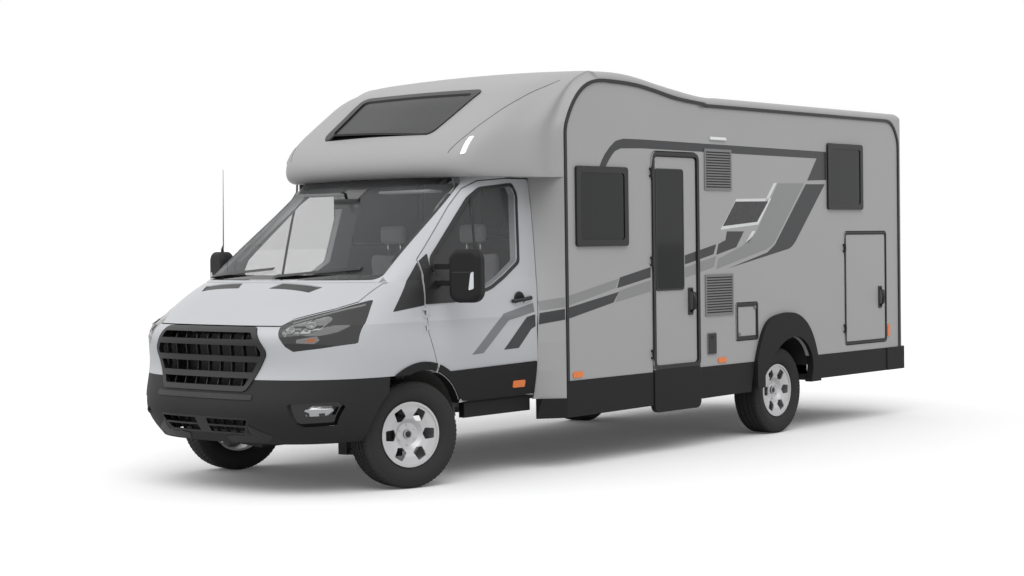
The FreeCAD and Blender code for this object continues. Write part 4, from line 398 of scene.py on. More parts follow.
def strip(name, points, width, names, mat, body, way=(0, 0, 0), lift=0.0006, sink=0.001):
    """A narrow line on the skin, near the given points."""
    tree = skin_of(names)
    spots = [Vector((x, y + SHIFT, z)) for x, y, z in points]
    fine = []
    for a, b in zip(spots, spots[1:]):
        steps = max(int((b - a).length / 0.02), 1)
        fine += [a.lerp(b, k / steps) for k in range(steps)]
    fine.append(spots[-1])
    found = [tree.find_nearest(p)[:2] for p in fine]
    verts, faces = [], []
    for i, (p, n) in enumerate(found):
        ahead = (found[min(i + 1, len(found) - 1)][0] - found[max(i - 1, 0)][0]).normalized()
        if n.dot(Vector((p.x, p.y, p.z - 1.2))) < 0:
            n = -n
        side = ahead.cross(n).normalized() * width / 2
        verts += [p + side + n * lift, p - side + n * lift, p - side - n * sink, p + side - n * sink]
        if i:
            for k in range(4):
                a, b = 4 * i + k, 4 * i + (k + 1) % 4
                faces.append([a, b, b - 4, a - 4])
    faces += [[0, 1, 2, 3], [len(verts) - 1 - k for k in range(4)]]
    return piece(name, verts, faces, mat, body)


def lathe(name, profile, centre, axis, mat, body, steps=48, turn=None, smooth=True, bevel=0.0, close=False):
    """A turned form from (along, radius) points."""
    axis = Vector(axis).normalized()
    side = axis.orthogonal().normalized()
    up = axis.cross(side)
    verts, faces = [], []
    for i in range(steps):
        angle = 2 * math.pi * i / steps
        ray = side * math.cos(angle) + up * math.sin(angle)
        for j, (along, radius) in enumerate(profile):
            if turn:
                along, radius = turn(i, j, along, radius)
            verts.append(Vector(centre) + axis * along + ray * radius)
    count = len(profile)
    for i in range(steps):
        for j in range(count if close else count - 1):
            a, b = i * count + j, i * count + (j + 1) % count
            c, d = ((i + 1) % steps) * count + (j + 1) % count, ((i + 1) % steps) * count + j
            faces.append([a, b, c, d])
    if not close:
        faces.append([i * count for i in range(steps)])
        faces.append([i * count + count - 1 for i in reversed(range(steps))])
    return piece(name, verts, faces, mat, body, smooth, bevel)


def tube(name, points, radii, mat, body, sides=10):
    """A round bar through points, with a radius at each."""
    verts, faces = [], []
    points = [Vector(p) for p in points]
    for i, p in enumerate(points):
        ahead = (points[min(i + 1, len(points) - 1)] - points[max(i - 1, 0)]).normalized()
        side = ahead.orthogonal().normalized()
        up = ahead.cross(side)
        for k in range(sides):
            angle = 2 * math.pi * k / sides
            verts.append(p + (side * math.cos(angle) + up * math.sin(angle)) * radii[i])
    for i in range(len(points) - 1):
        for k in range(sides):
            a, b = i * sides + k, i * sides + (k + 1) % sides
            faces.append([a, b, b + sides, a + sides])
    faces.append(list(range(sides)))
    faces.append([len(verts) - 1 - k for k in range(sides)])
    return piece(name, verts, faces, mat, body, True)


def slab(name, low, high, mat, body, bevel=0.004, taper=0.0):
    """A softened block, narrower at its top by the taper."""
    (x0, y0, z0), (x1, y1, z1) = low, high
    verts = []
    for z, t in ((z0, 0.0), ((z0 + z1) / 2, taper * 0.35), (z1, taper)):
        verts += [(x0 + t, y0 + t, z), (x1 - t, y0 + t, z), (x1 - t, y1 - t, z), (x0 + t, y1 - t, z)]
    faces = [[3, 2, 1, 0], [8, 9, 10, 11]]
    for level in (0, 4):
        for k in range(4):
            a, b = level + k, level + (k + 1) % 4
            faces.append([a, b, b + 4, a + 4])
    return piece(name, verts, faces, mat, body, bevel=bevel)


# Tyres with tread blocks and sidewall ribs
TYRE = [(-0.082, 0.2085), (-0.088, 0.222), (-0.101, 0.236), (-0.109, 0.252), (-0.1145, 0.268),
        (-0.1165, 0.284), (-0.1165, 0.298), (-0.1145, 0.312), (-0.1125, 0.314), (-0.1125, 0.318),
        (-0.113, 0.320), (-0.109, 0.334), (-0.104, 0.345), (-0.097, 0.3515), (-0.088, 0.3545),
        (-0.068, 0.3555), (-0.067, 0.3475), (-0.058, 0.3475), (-0.057, 0.356), (-0.026, 0.356),
        (-0.025, 0.3475), (-0.016, 0.3475), (-0.015, 0.356)]
TYRE = TYRE + [(-x, r) for x, r in reversed(TYRE)]
TREAD_STEPS = 288
SHOULDER_GROOVE = 0.0045
RIB_GROOVE = 0.004


def tread(i, j, along, radius):
    """Every fourth step round the tyre is a groove across its shoulder or its middle ribs."""
    width = abs(along)
    if 0.068 <= width < 0.105 and radius > 0.344 and i % 4 == 0:
        return along, radius - SHOULDER_GROOVE
    if 0.026 <= width <= 0.058 and radius > 0.35 and (i + 2) % 4 == 0:
        return along, radius - RIB_GROOVE
    return along, radius


STEER = math.radians(-16.7)
KINGPIN = 0.8
KINGPIN_REACH = 0.07
REAR_TRACK_HALF = 0.99
DISC = [(-0.052, 0.045), (-0.052, 0.117), (-0.03, 0.117), (-0.03, 0.045)]
WHEEL_CAP = [(0.0585, 0.001), (0.0590, 0.020), (0.0572, 0.0225), (0.0586, 0.0245), (0.0570, 0.0295),
             (0.0455, 0.0315), (0.0455, 0.001)]
WHEELS = []
for side, word in SIDES:
    turned = Vector((math.cos(STEER), math.sin(STEER), 0)) * side
    centre = Vector((side * KINGPIN, SHIFT, WHEEL_HEIGHT)) + turned * KINGPIN_REACH
    WHEELS.append(("front_" + word, centre, turned))
    centre = Vector((side * REAR_TRACK_HALF, AXLE + SHIFT, WHEEL_HEIGHT))
    WHEELS.append(("rear_" + word, centre, Vector((side, 0, 0))))
for word, centre, way in WHEELS:
    body = "wheel_" + word
    tyre = lathe("tread_tyre_" + word, TYRE, centre, way, RUBBER, body, TREAD_STEPS, tread, close=True,
                 smooth=False)
    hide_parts("tyre_" + word)
    lathe("brake_disc_" + word, DISC, centre, way, IRON, body, 64, close=True)
    lathe("wheel_cap_" + word, WHEEL_CAP, centre, way, SATIN, body, 40)
    valve = centre + way * 0.052 + Vector((0, 0, 0.182))
    tube("valve_" + word, [valve, valve + way * 0.028], [0.004, 0.003], SEAL, body)


# Stripes on the left and right walls and cab doors
WALL = "side_wall_left"
STRIPES = [
    ("s1_dark", STRIPE_DARK, [(1.385, 1.143), (1.986, 1.239), (1.920, 1.163), (1.385, 1.064)]),
    ("s1_grey", STRIPE_LIGHT, [(1.385, 1.226), (1.988, 1.337), (1.943, 1.266), (1.385, 1.156)]),
    ("s2_dark", STRIPE_DARK, [(2.000, 1.344), (2.385, 1.413), (2.385, 1.336), (1.965, 1.266)]),
    ("s2_grey", STRIPE_LIGHT, [(1.987, 1.246), (2.385, 1.316), (2.385, 1.230), (1.941, 1.162)]),
    ("s3_dark", STRIPE_DARK, [(3.042, 1.534), (3.268, 1.577), (3.228, 1.498), (3.042, 1.463)]),
    ("s3_grey", STRIPE_LIGHT, [(3.042, 1.442), (3.266, 1.483), (3.231, 1.397), (3.042, 1.362)]),
    ("band", STRIPE_DARK, [(1.769, 2.151), (1.800, 2.200), (1.835, 2.243), (1.895, 2.297), (1.966, 2.344),
                           (2.060, 2.364), (2.300, 2.366), (4.955, 2.350), (4.955, 2.110), (4.645, 2.100),
                           (4.800, 2.290), (2.300, 2.300), (2.030, 2.292), (1.960, 2.270), (1.920, 2.239),
                           (1.878, 2.195), (1.843, 2.152)]),
    ("slant_dark", STRIPE_DARK, [(4.620, 2.069), (4.930, 2.073), (4.447, 1.587), (4.400, 1.552),
                                 (4.343, 1.529), (3.441, 1.385), (4.009, 1.502), (4.126, 1.563)]),
    ("slant_grey", STRIPE_LIGHT, [(4.180, 2.069), (4.594, 2.077), (4.143, 1.607), (4.085, 1.560),
                                  (4.009, 1.530), (3.264, 1.380), (3.289, 1.460), (3.640, 1.560),
                                  (3.840, 1.660)]),
    ("slash_high", STRIPE_WHITE, [(4.120, 2.071), (4.165, 2.073), (3.955, 1.840), (3.905, 1.838)]),
    ("slash_low", STRIPE_WHITE, [(3.790, 1.679), (3.835, 1.679), (3.740, 1.584), (3.690, 1.584)]),
    ("wedge_dark", STRIPE_DARK, [(3.420, 1.677), (3.665, 1.676), (3.553, 1.551), (3.266, 1.493),
                                 (3.298, 1.578), (3.398, 1.608)]),
    ("chevron_frame", STRIPE_WHITE, [(3.560, 1.935), (4.080, 1.945), (3.880, 1.730), (3.330, 1.690)]),
    ("chevron_weave", STRIPE_MESH, [(3.546, 1.914), (4.030, 1.920), (3.860, 1.752), (3.362, 1.718)]),
]
NOT_ON_THE_RIGHT = ("s2_dark", "s2_grey", "s3_dark", "s3_grey")
for name, mat, line in STRIPES:
    lift = 0.0012 if name == "chevron_weave" else 0.0007
    patch("stripe_" + name + "_left", line, "x", WALL, mat, "body", lift=lift, cell=0.4)
    if name not in NOT_ON_THE_RIGHT:
        patch("stripe_" + name + "_right", line, "x", "side_wall_right", mat, "body", lift=lift, cell=0.4,
              side=RIGHT)
RIGHT_RUN = [("run_dark", STRIPE_DARK, [(2.000, 1.344), (3.268, 1.577), (3.228, 1.498), (1.965, 1.266)]),
             ("run_grey", STRIPE_LIGHT, [(1.987, 1.246), (3.266, 1.483), (3.231, 1.397), (1.941, 1.162)])]
for name, mat, line in RIGHT_RUN:
    patch("stripe_" + name + "_right", line, "x", "side_wall_right", mat, "body", cell=0.4, side=RIGHT)
# Across the entry door, between its window and its rim
DOOR_RUN = [("door_dark", STRIPE_DARK, [(2.835, 1.495), (2.985, 1.524), (2.985, 1.452), (2.835, 1.425)]),
            ("door_grey", STRIPE_LIGHT, [(2.835, 1.402), (2.985, 1.430), (2.985, 1.350), (2.835, 1.322)])]
for name, mat, line in DOOR_RUN:
    patch("stripe_" + name, line, "x", "entry_door", mat, "entry_door")
CAB_RUN = [("cab_grey", STRIPE_CAB, [(1.160, 1.184), (0.830, 1.121), (0.485, 0.855), (0.600, 0.860),
                                       (0.880, 1.072), (1.165, 1.122)]),
           ("cab_dark", STRIPE_DARK, [(1.168, 1.104), (1.078, 1.088), (0.817, 0.872), (0.974, 0.876),
                                      (1.120, 1.002), (1.170, 1.020)])]
for name, mat, line in CAB_RUN:
    both("stripe_" + name, line, "x", "cab_door_%s", mat, "cab_door_%s", lift=0.0015, cell=0.02)
CORNER_RUN = [("corner_grey", STRIPE_LIGHT, [(1.215, 1.194), (1.352, 1.219), (1.352, 1.150), (1.215, 1.128)]),
              ("corner_dark", STRIPE_DARK, [(1.210, 1.110), (1.352, 1.136), (1.352, 1.060), (1.200, 1.030)])]
for name, mat, line in CORNER_RUN:
    both("stripe_" + name, line, "x", "corner_panels", mat, "body", lift=0.0015, cell=0.02)


# Cab door fittings
DOOR = "cab_door_%s"
CLADDING = [(0.262, 0.757), (1.172, 0.776), (1.172, 0.545), (0.415, 0.545), (0.372, 0.625), (0.322, 0.690)]
both("door_cladding", rounded(CLADDING, 0.012), "x", DOOR, BLACK, DOOR, lift=0.009, cell=0.05, bevel=0.003)
FRONT_ARCH = Vector((0.0, WHEEL_HEIGHT))


def arc_band(inner, outer, first, last, steps=14):
    """Outline of a band round the front arch, between two radii and two angles in degrees."""
    angles = [math.radians(first + (last - first) * k / steps) for k in range(steps + 1)]
    near = [tuple(FRONT_ARCH + inner * Vector((math.cos(a), math.sin(a)))) for a in angles]
    far = [tuple(FRONT_ARCH + outer * Vector((math.cos(a), math.sin(a)))) for a in angles]
    return near + far[::-1]


both("arch_lip_door", arc_band(0.429, 0.480, 28, 70), "x", DOOR, BLACK, DOOR, lift=0.0095, cell=0.03,
     bevel=0.002)
both("arch_lip_wing", arc_band(0.4265, 0.480, 73.5, 83), "x", "cab_shell", BLACK, "body", lift=0.0095,
     cell=0.03, bevel=0.002)
both("door_reflector", rect(0.921, 1.050, 0.600, 0.650, 0.012), "x", DOOR, AMBER, DOOR, lift=0.015,
     cell=0.06, bevel=0.003)
GLAZING = [(0.395, 1.239), (0.175, 1.421), (0.200, 1.508), (0.654, 1.909), (0.770, 1.975), (1.102, 2.007),
           (1.132, 1.947), (1.050, 1.485), (0.875, 1.385), (0.725, 1.317)]
both("window_seal", rounded(grown(GLAZING, 0.026), 0.03), "x", DOOR, SATIN, DOOR, lift=0.003,
     cell=0.06, holes=[rounded(grown(GLAZING, 0.001), 0.022)])
MIRROR_BASE = [(0.054, 1.212), (0.094, 1.405), (0.090, 1.498), (0.165, 1.545), (0.150, 1.425),
               (0.375, 1.238), (0.350, 1.215)]
both("mirror_base", rounded(MIRROR_BASE, 0.006), "x", DOOR, SATIN, DOOR, lift=0.006, cell=0.05, bevel=0.002)
GLASS_BAR = [(0.660, 1.925), (0.684, 1.945), (0.622, 1.330), (0.598, 1.318)]
both("door_glass_bar", GLASS_BAR, "x", "door_glass_%s", SATIN, DOOR, lift=0.001, cell=0.08)
TRIANGLE = [(-0.238, 1.172), (0.040, 1.205), (0.064, 1.330), (0.080, 1.420), (0.076, 1.490)]
both("wing_triangle", rounded(TRIANGLE, 0.008), "x", "cab_shell", SATIN, "body", lift=0.002, cell=0.03)
DISH = [(0.0, 0.058), (0.0035, 0.056), (0.0035, 0.048), (0.0005, 0.042), (0.0005, 0.001)]
MIRROR_GLASS = [(1.150, 1.300), (1.310, 1.300), (1.310, 1.545), (1.150, 1.545)]
MIRROR_WIDE = [(1.160, 1.240), (1.305, 1.240), (1.305, 1.288), (1.150, 1.288)]
MIRROR_LENS = [(1.268, 1.300), (1.304, 1.310), (1.304, 1.425), (1.284, 1.415)]
MIRROR_JOINT = [(1.14, 0.150, 1.42), (1.24, 0.185, 1.42), (1.32, 0.215, 1.42)]
for side, word in SIDES:
    skin = skin_of("cab_door_" + word)
    body = DOOR % word
    mirror = "mirror_" + word

    def on_door(y, z, out=0.0):
        hit = skin.ray_cast(Vector((side * 3, y + SHIFT, z)), Vector((-side, 0, 0)))[0]
        return hit + Vector((side * out, 0, 0))

    dish = on_door(1.015, 1.212)
    lathe("handle_dish_" + word, DISH, dish, (side, 0, 0), SATIN, body, 40)
    grip = [on_door(0.930, 1.204, 0.004), on_door(0.955, 1.206, 0.028), on_door(1.040, 1.214, 0.032),
            on_door(1.110, 1.221, 0.028), on_door(1.140, 1.224, 0.004)]
    tube("handle_grip_" + word, grip, [0.013, 0.014, 0.014, 0.014, 0.012], SATIN, body)
    patch("mirror_glass_" + word, rounded(MIRROR_GLASS, 0.03), "rear", mirror, CHROME, body, side=side,
          lift=0.001, cell=0.05)
    patch("mirror_wide_glass_" + word, rounded(MIRROR_WIDE, 0.015), "rear", mirror, CHROME, body, side=side,
          lift=0.001, cell=0.05)
    patch("mirror_lens_" + word, rounded(MIRROR_LENS, 0.010), "front", mirror, LENS, body, side=side,
          lift=0.003, cell=0.03, bevel=0.001)
    strip("mirror_joint_" + word, [(side * x, y, z) for x, y, z in MIRROR_JOINT], 0.004, mirror, SEAM, body)
aerial = Vector((-1.20, 0.230 + SHIFT, 1.562))
tube("aerial", [aerial, aerial + Vector((0, 0, 0.03)), aerial + Vector((0, 0.01, 0.06)),
                aerial + Vector((0, 0.02, 0.62))], [0.012, 0.010, 0.004, 0.0016], SEAL, "cab_door_right")

# Lamps, with points as shares of the lamp's width and height
LAMP_CORNER = (0.592, 0.937)
LAMP_WIDTH, LAMP_HEIGHT = 0.380, 0.325
LAMPS = "front_lamps"


def lamp(shares):
    return [(LAMP_CORNER[0] + a * LAMP_WIDTH, LAMP_CORNER[1] + b * LAMP_HEIGHT) for a, b in shares]


REFLECTOR_SHARES = [(0.10, 0.40), (0.17, 0.52), (0.36, 0.60), (0.56, 0.68), (0.66, 0.62), (0.64, 0.42),
                    (0.50, 0.34), (0.30, 0.30), (0.14, 0.28)]
DIVIDER_SHARES = [(0.365, 0.31), (0.385, 0.31), (0.425, 0.63), (0.405, 0.625)]
BROW_SHARES = [(0.14, 0.56), (0.50, 0.735), (0.82, 0.90), (0.83, 0.86), (0.52, 0.70), (0.16, 0.53)]
SIGNAL_SHARES = [(0.36, 0.17), (0.36, 0.24), (0.62, 0.30), (0.66, 0.22), (0.60, 0.15)]
AMBER_SHARES = [(0.50, 0.175), (0.50, 0.245), (0.60, 0.27), (0.62, 0.20)]
both("lamp_reflector", rounded(lamp(REFLECTOR_SHARES), 0.02), "front", LAMPS, LAMP_GREY, "body",
     lift=0.0012, cell=0.03, smooth=True)
both("lamp_divider", lamp(DIVIDER_SHARES), "front", LAMPS, LAMP_DARK, "body", lift=0.004, cell=0.05)
both("lamp_brow", rounded(lamp(BROW_SHARES), 0.004), "front", LAMPS, LAMP_GREY, "body", lift=0.0016,
     cell=0.04)
both("lamp_signal", rounded(lamp(SIGNAL_SHARES), 0.006), "front", LAMPS, LAMP_GREY, "body", lift=0.0014,
     cell=0.04)
both("lamp_amber", rounded(lamp(AMBER_SHARES), 0.006), "front", LAMPS, AMBER_DEEP, "body", lift=0.0022,
     cell=0.04)
FOG_LINE = [(0.762, 0.526), (0.776, 0.570), (0.800, 0.594), (0.872, 0.590), (0.886, 0.562), (0.856, 0.528)]
both("fog_lens", rounded(FOG_LINE, 0.010), "front", LAMPS, FOG, "body", lift=0.006, cell=0.03, bevel=0.002)
for side, word in SIDES:
    skin = skin_of(LAMPS)
    for k, (x, z, size) in enumerate(((0.680, 1.070, 0.030), (0.770, 1.100, 0.036))):
        hit, normal = skin.ray_cast(Vector((side * x, -9, z)), Vector((0, 1, 0)))[:2]
        bowl = [(0.001, size), (0.005, size), (0.005, size * 0.86), (0.0025, size * 0.80),
                (0.0022, size * 0.45), (0.005, size * 0.4), (0.006, 0.002)]
        lathe("lamp_bowl_%d_%s" % (k, word), bowl, hit, normal, LAMP_GREY, "body", 36)

# Front face
slab("radiator", (-0.50, -0.800 + SHIFT, 0.62), (0.50, -0.770 + SHIFT, 1.04), SATIN, "body", 0.006)
slab("lower_radiator", (-0.42, -0.858 + SHIFT, 0.512), (0.42, -0.835 + SHIFT, 0.60), SATIN, "body", 0.004)
FRONT = "front_bumper"
SKID = [(0.18, 0.385), (0.34, 0.405), (0.40, 0.470), (0.56, 0.395), (0.50, 0.352), (0.20, 0.345)]
both("bumper_skid", rounded(SKID, 0.012), "front", FRONT, SATIN, "body", lift=0.004, cell=0.05, bevel=0.002)
patch("bumper_step", rect(-0.46, 0.46, 0.630, 0.664, 0.012), "front", FRONT, SATIN, "body", lift=0.006,
      cell=0.05, bevel=0.002)
BONNET_VENT = [(0.152, -0.543), (0.530, -0.543), (0.576, -0.464), (0.198, -0.464)]
both("bonnet_vent_mesh", BONNET_VENT, "top", "bonnet", SATIN, "bonnet", lift=0.002, cell=0.05)

# Roof window and marker lamps of the overcab
ROOF_FRAME = [(-0.545, 0.640), (0.545, 0.640), (0.600, 1.155), (-0.600, 1.155)]
ROOF_HOLE = [(-0.492, 0.692), (0.492, 0.692), (0.542, 1.100), (-0.542, 1.100)]
patch("sunroof_frame", rounded(ROOF_FRAME, 0.07), "top", "overcab_shell overcab_window", SATIN, "body",
      lift=0.012, cell=0.06, bevel=0.004, holes=[rounded(ROOF_HOLE, 0.045)])
MARKER = [(0.866, 2.218), (0.890, 2.226), (0.892, 2.352), (0.868, 2.345)]
both("overcab_marker", rounded(MARKER, 0.008), "front", "overcab_shell", LENS, "body", lift=0.008,
     cell=0.04, bevel=0.002)
OVERCAB_SEAM = [(0.733, 0.571, 2.090), (0.788, 0.555, 2.245), (0.841, 0.673, 2.352), (0.904, 0.986, 2.546),
                (0.964, 1.247, 2.675), (1.020, 1.495, 2.771)]
for side, word in SIDES:
    strip("overcab_seam_" + word, [(side * x, y, z) for x, y, z in OVERCAB_SEAM], 0.005, "overcab_shell",
          SEAM, "body")
SCREEN = "windscreen"
BAND_TOP = [(-0.785, 2.064), (0.785, 2.064), (0.789, 2.020), (-0.789, 2.020)]
BAND_FOOT = [(-0.840, 1.384), (0.840, 1.384), (0.836, 1.412), (-0.836, 1.412)]
BAND_SIDE = [(0.842, 1.385), (0.822, 1.385), (0.770, 2.064), (0.790, 2.064)]
SENSOR = [(-0.110, 2.030), (0.110, 2.030), (0.075, 1.900), (-0.075, 1.900)]
SPINDLE = [(0.0, 0.017), (0.008, 0.016), (0.012, 0.012), (0.015, 0.003)]
patch("screen_band_top", BAND_TOP, "front", SCREEN, GLOSS, "body", lift=0.0006, cell=0.06)
patch("screen_band_foot", BAND_FOOT, "front", SCREEN, GLOSS, "body", lift=0.0006, cell=0.06)
both("screen_band_side", BAND_SIDE, "front", SCREEN, GLOSS, "body", lift=0.0007, cell=0.06)
patch("screen_sensor", rounded(SENSOR, 0.02), "front", SCREEN, GLOSS, "body", lift=0.0008, cell=0.06)
for side, word, x, z in ((RIGHT, "right", 0.682, 1.404), (LEFT, "left", 0.078, 1.404)):
    hit, normal = skin_of(SCREEN).ray_cast(Vector((side * x, -9, z)), Vector((0, 1, 0)))[:2]
    lathe("wiper_spindle_" + word, SPINDLE, hit, normal, SATIN, "body", 24)
slab("inner_mirror", (-0.120, 0.330 + SHIFT, 1.865), (0.120, 0.365 + SHIFT, 1.935), SATIN, "body", 0.01)
tube("inner_mirror_stem", [(0, 0.345 + SHIFT, 1.93), (0, 0.33 + SHIFT, 1.97), (0, 0.30 + SHIFT, 1.985)],
     [0.010, 0.012, 0.016], SATIN, "body")
for side, word in SIDES:
    slab("sun_visor_" + word, (min(side * 0.16, side * 0.64), 0.500 + SHIFT, 1.965),
         (max(side * 0.16, side * 0.64), 0.640 + SHIFT, 1.985), CLOTH, "body", 0.006)

# Coach fittings on the left wall
ENTRY = "entry_door"
slab("entry_handle_plate", (1.156, 2.868 + SHIFT, 1.035), (1.168, 2.930 + SHIFT, 1.245), SATIN, ENTRY, 0.006)
ENTRY_GRIP = [(1.166, 1.060), (1.198, 1.085), (1.202, 1.150), (1.198, 1.205), (1.166, 1.228)]
tube("entry_handle", [(x, 2.899 + SHIFT, z) for x, z in ENTRY_GRIP], [0.012, 0.013, 0.013, 0.013, 0.011],
     SATIN, ENTRY)
RIM = 0.0007
ring("entry_rim", *frame_pair(2.4075, 3.0225, 0.6295, 2.2815, 0.063, 0.029), 1.167, 1.167 + RIM, SATIN, ENTRY)
ring("entry_border", *frame_pair(2.4365, 2.9935, 0.6585, 2.2525, 0.045, 0.010), 1.155, 1.1565, SEAL, ENTRY)
patch("entry_window_frame", rect(2.448, 2.818, 1.231, 2.155, 0.03), "x", ENTRY, SATIN, ENTRY, lift=0.008,
      cell=0.3, bevel=0.003, holes=[rect(2.462, 2.804, 1.245, 2.141, 0.024)])
patch("entry_apron_skin", rect(2.409, 3.021, 0.315, 0.640, 0.06), "x", ENTRY, BLACK, ENTRY, lift=0.0012,
      sink=0.0005, cell=0.4)
LOCKER = "locker_door"
ring("locker_rim", *frame_pair(5.2515, 5.9825, 0.6835, 1.6655, 0.027, 0.0145), 1.161, 1.161 + RIM, SATIN,
     LOCKER)
ring("locker_border", *frame_pair(5.2655, 5.9685, 0.6975, 1.6515, 0.030, 0.012), 1.155, 1.1565, SEAL, LOCKER)
slab("locker_handle_plate", (1.154, 5.835 + SHIFT, 0.985), (1.166, 5.895 + SHIFT, 1.180), SATIN, LOCKER,
     0.006)
LOCKER_GRIP = [(1.162, 1.005), (1.190, 1.030), (1.194, 1.090), (1.190, 1.140), (1.162, 1.162)]
tube("locker_handle", [(x, 5.865 + SHIFT, z) for x, z in LOCKER_GRIP], [0.011, 0.012, 0.012, 0.012, 0.010],
     SATIN, LOCKER)
HATCH = "service_hatch"
ring("hatch_rim", *frame_pair(3.5375, 3.8545, 0.8055, 1.1005, 0.013, 0.0145), 1.161, 1.161 + RIM, SATIN,
     HATCH)
ring("hatch_border", *frame_pair(3.5525, 3.8395, 0.8205, 1.0855, 0.012, 0.016), 1.155, 1.157, SATIN, HATCH)
HATCH_LOCK = [(0.0, 0.017), (0.006, 0.016), (0.006, 0.009), (0.003, 0.008), (0.003, 0.001)]
INLET_LOCK = [(0.0, 0.020), (0.007, 0.019), (0.007, 0.010), (0.004, 0.009), (0.004, 0.001)]
for k, (y, z) in enumerate(((3.812, 1.062), (3.580, 0.850))):
    lathe("hatch_lock_%d" % k, HATCH_LOCK, (1.156, y + SHIFT, z), (1, 0, 0), GREY, HATCH, 28)
lathe("inlet_lock", INLET_LOCK, (1.164, 3.186 + SHIFT, 0.850), (1, 0, 0), SATIN, "body", 28)
patch("inlet_flap", rect(3.132, 3.240, 0.720, 0.877, 0.012), "x", "wall_vents", SATIN, "body", lift=0.004,
      cell=0.2, bevel=0.002)
slab("awning_lamp", (1.154, 3.185 + SHIFT, 2.392), (1.172, 3.405 + SHIFT, 2.418), LENS, "body", 0.005)
# Painted shade: thin dark blocks at the bottoms of the two fridge vents' slots, standing in for the shade
# inside them
SLOTS = 14
SLOT_RIM = 0.016
SLOT_MARGIN = 0.020
BLOCK_FACES = ([3, 2, 1, 0], [4, 5, 6, 7], [0, 1, 5, 4], [1, 2, 6, 5], [2, 3, 7, 6], [3, 0, 4, 7])
verts, faces = [], []
for y0, y1, z0, z1 in ((3.108, 3.485, 1.999, 2.323), (3.103, 3.494, 1.015, 1.341)):
    pitch = (z1 - z0 - 2 * SLOT_RIM) / SLOTS
    for i in range(SLOTS):
        low = z0 + SLOT_RIM + (i + 0.25) * pitch
        start = len(verts)
        for x in (1.1581, 1.1586):
            slot = rect(y0 + SLOT_MARGIN, y1 - SLOT_MARGIN, low, low + pitch / 2)
            verts += [(x, y + SHIFT, z) for y, z in slot]
        faces += [[start + k for k in face] for face in BLOCK_FACES]
piece("vent_slot_painted_shade", verts, faces, SEAL, "body")
# Dark liners round the rear wheels
LINER = [(3.880, 0.40), (3.900, 0.52), (4.030, 0.68), (4.200, 0.79), (4.470, 0.805), (4.620, 0.74),
         (4.660, 0.60), (4.660, 0.40)]
LINER_LINE = rounded(LINER, 0.06)[2:-2]
LINER_INNER, LINER_OUTER, LINER_THICK = 0.805, 1.125, 0.006
for side, word in SIDES:
    verts, faces = [], []
    for k, (y, z) in enumerate(LINER_LINE):
        for grow in (0.0, LINER_THICK):
            verts += [(side * x, y + SHIFT, z + grow) for x in (LINER_INNER, LINER_OUTER)]
        if k:
            a, b = 4 * k, 4 * k - 4
            faces += [[a, a + 1, b + 1, b], [b + 2, b + 3, a + 3, a + 2], [a, b, b + 2, a + 2],
                      [a + 1, a + 3, b + 3, b + 1]]
    last = 4 * (len(LINER_LINE) - 1)
    faces += [[0, 1, 3, 2], [last, last + 2, last + 3, last + 1]]
    piece("arch_liner_" + word, verts, faces, LINER_MAT, "body")

# Rear
for name, mat, z0, z1 in (("tail_lamp", RED, 0.95, 1.22), ("tail_turn", AMBER, 0.86, 0.94),
                          ("tail_reverse", LENS, 0.775, 0.85)):
    both(name, rect(0.915, 1.005, z0, z1, 0.012), "rear", "rear_lamps", mat, "body", lift=0.004, cell=0.2,
         bevel=0.002)


# Padded seats, mattress and bench cushion
CUTS = 15
PRESSURE = 4.0
LAST_FRAME = 20


def stuffed(name, low, high, corner, crown, pinch, voxel, flat_foot=False):
    """A crowned closed form with rounded edges, whose sides pull in between its corners."""
    low = Vector((low[0], low[1] + SHIFT, low[2]))
    high = Vector((high[0], high[1] + SHIFT, high[2]))
    centre, half = (low + high) / 2, (high - low) / 2
    thin = min(range(3), key=lambda axis: half[axis])
    wide = [axis for axis in range(3) if axis != thin]
    shape = bmesh.new()
    bmesh.ops.create_cube(shape, size=2.0)
    bmesh.ops.subdivide_edges(shape, edges=shape.edges[:], cuts=CUTS, use_grid_fill=True)
    for v in shape.verts:
        place = v.co.copy()
        spot = Vector([place[a] * half[a] for a in range(3)])
        core = Vector([max(-half[a] + corner, min(half[a] - corner, spot[a])) for a in range(3)])
        away = spot - core
        if away.length > 0:
            spot = core + away.normalized() * corner
        edge = max(abs(place[wide[0]]), abs(place[wide[1]]))
        if not (flat_foot and place[thin] < 0):
            spot[thin] *= 1 - crown * edge ** 2.5
        for a, b in (wide, wide[::-1]):
            spot[a] *= 1 - pinch * (1 - place[b] ** 2) * abs(place[a])
        v.co = centre + spot
    data = bpy.data.meshes.new(name)
    shape.to_mesh(data)
    shape.free()
    obj = bpy.data.objects.new(name, data)
    bpy.context.scene.collection.objects.link(obj)
    solid = obj.modifiers.new("remesh", "REMESH")
    solid.mode = "VOXEL"
    solid.voxel_size = voxel
    obj.data = bpy.data.meshes.new_from_object(obj.evaluated_get(bpy.context.evaluated_depsgraph_get()))
    obj.modifiers.clear()
    obj.data.materials.append(CLOTH)
    return obj


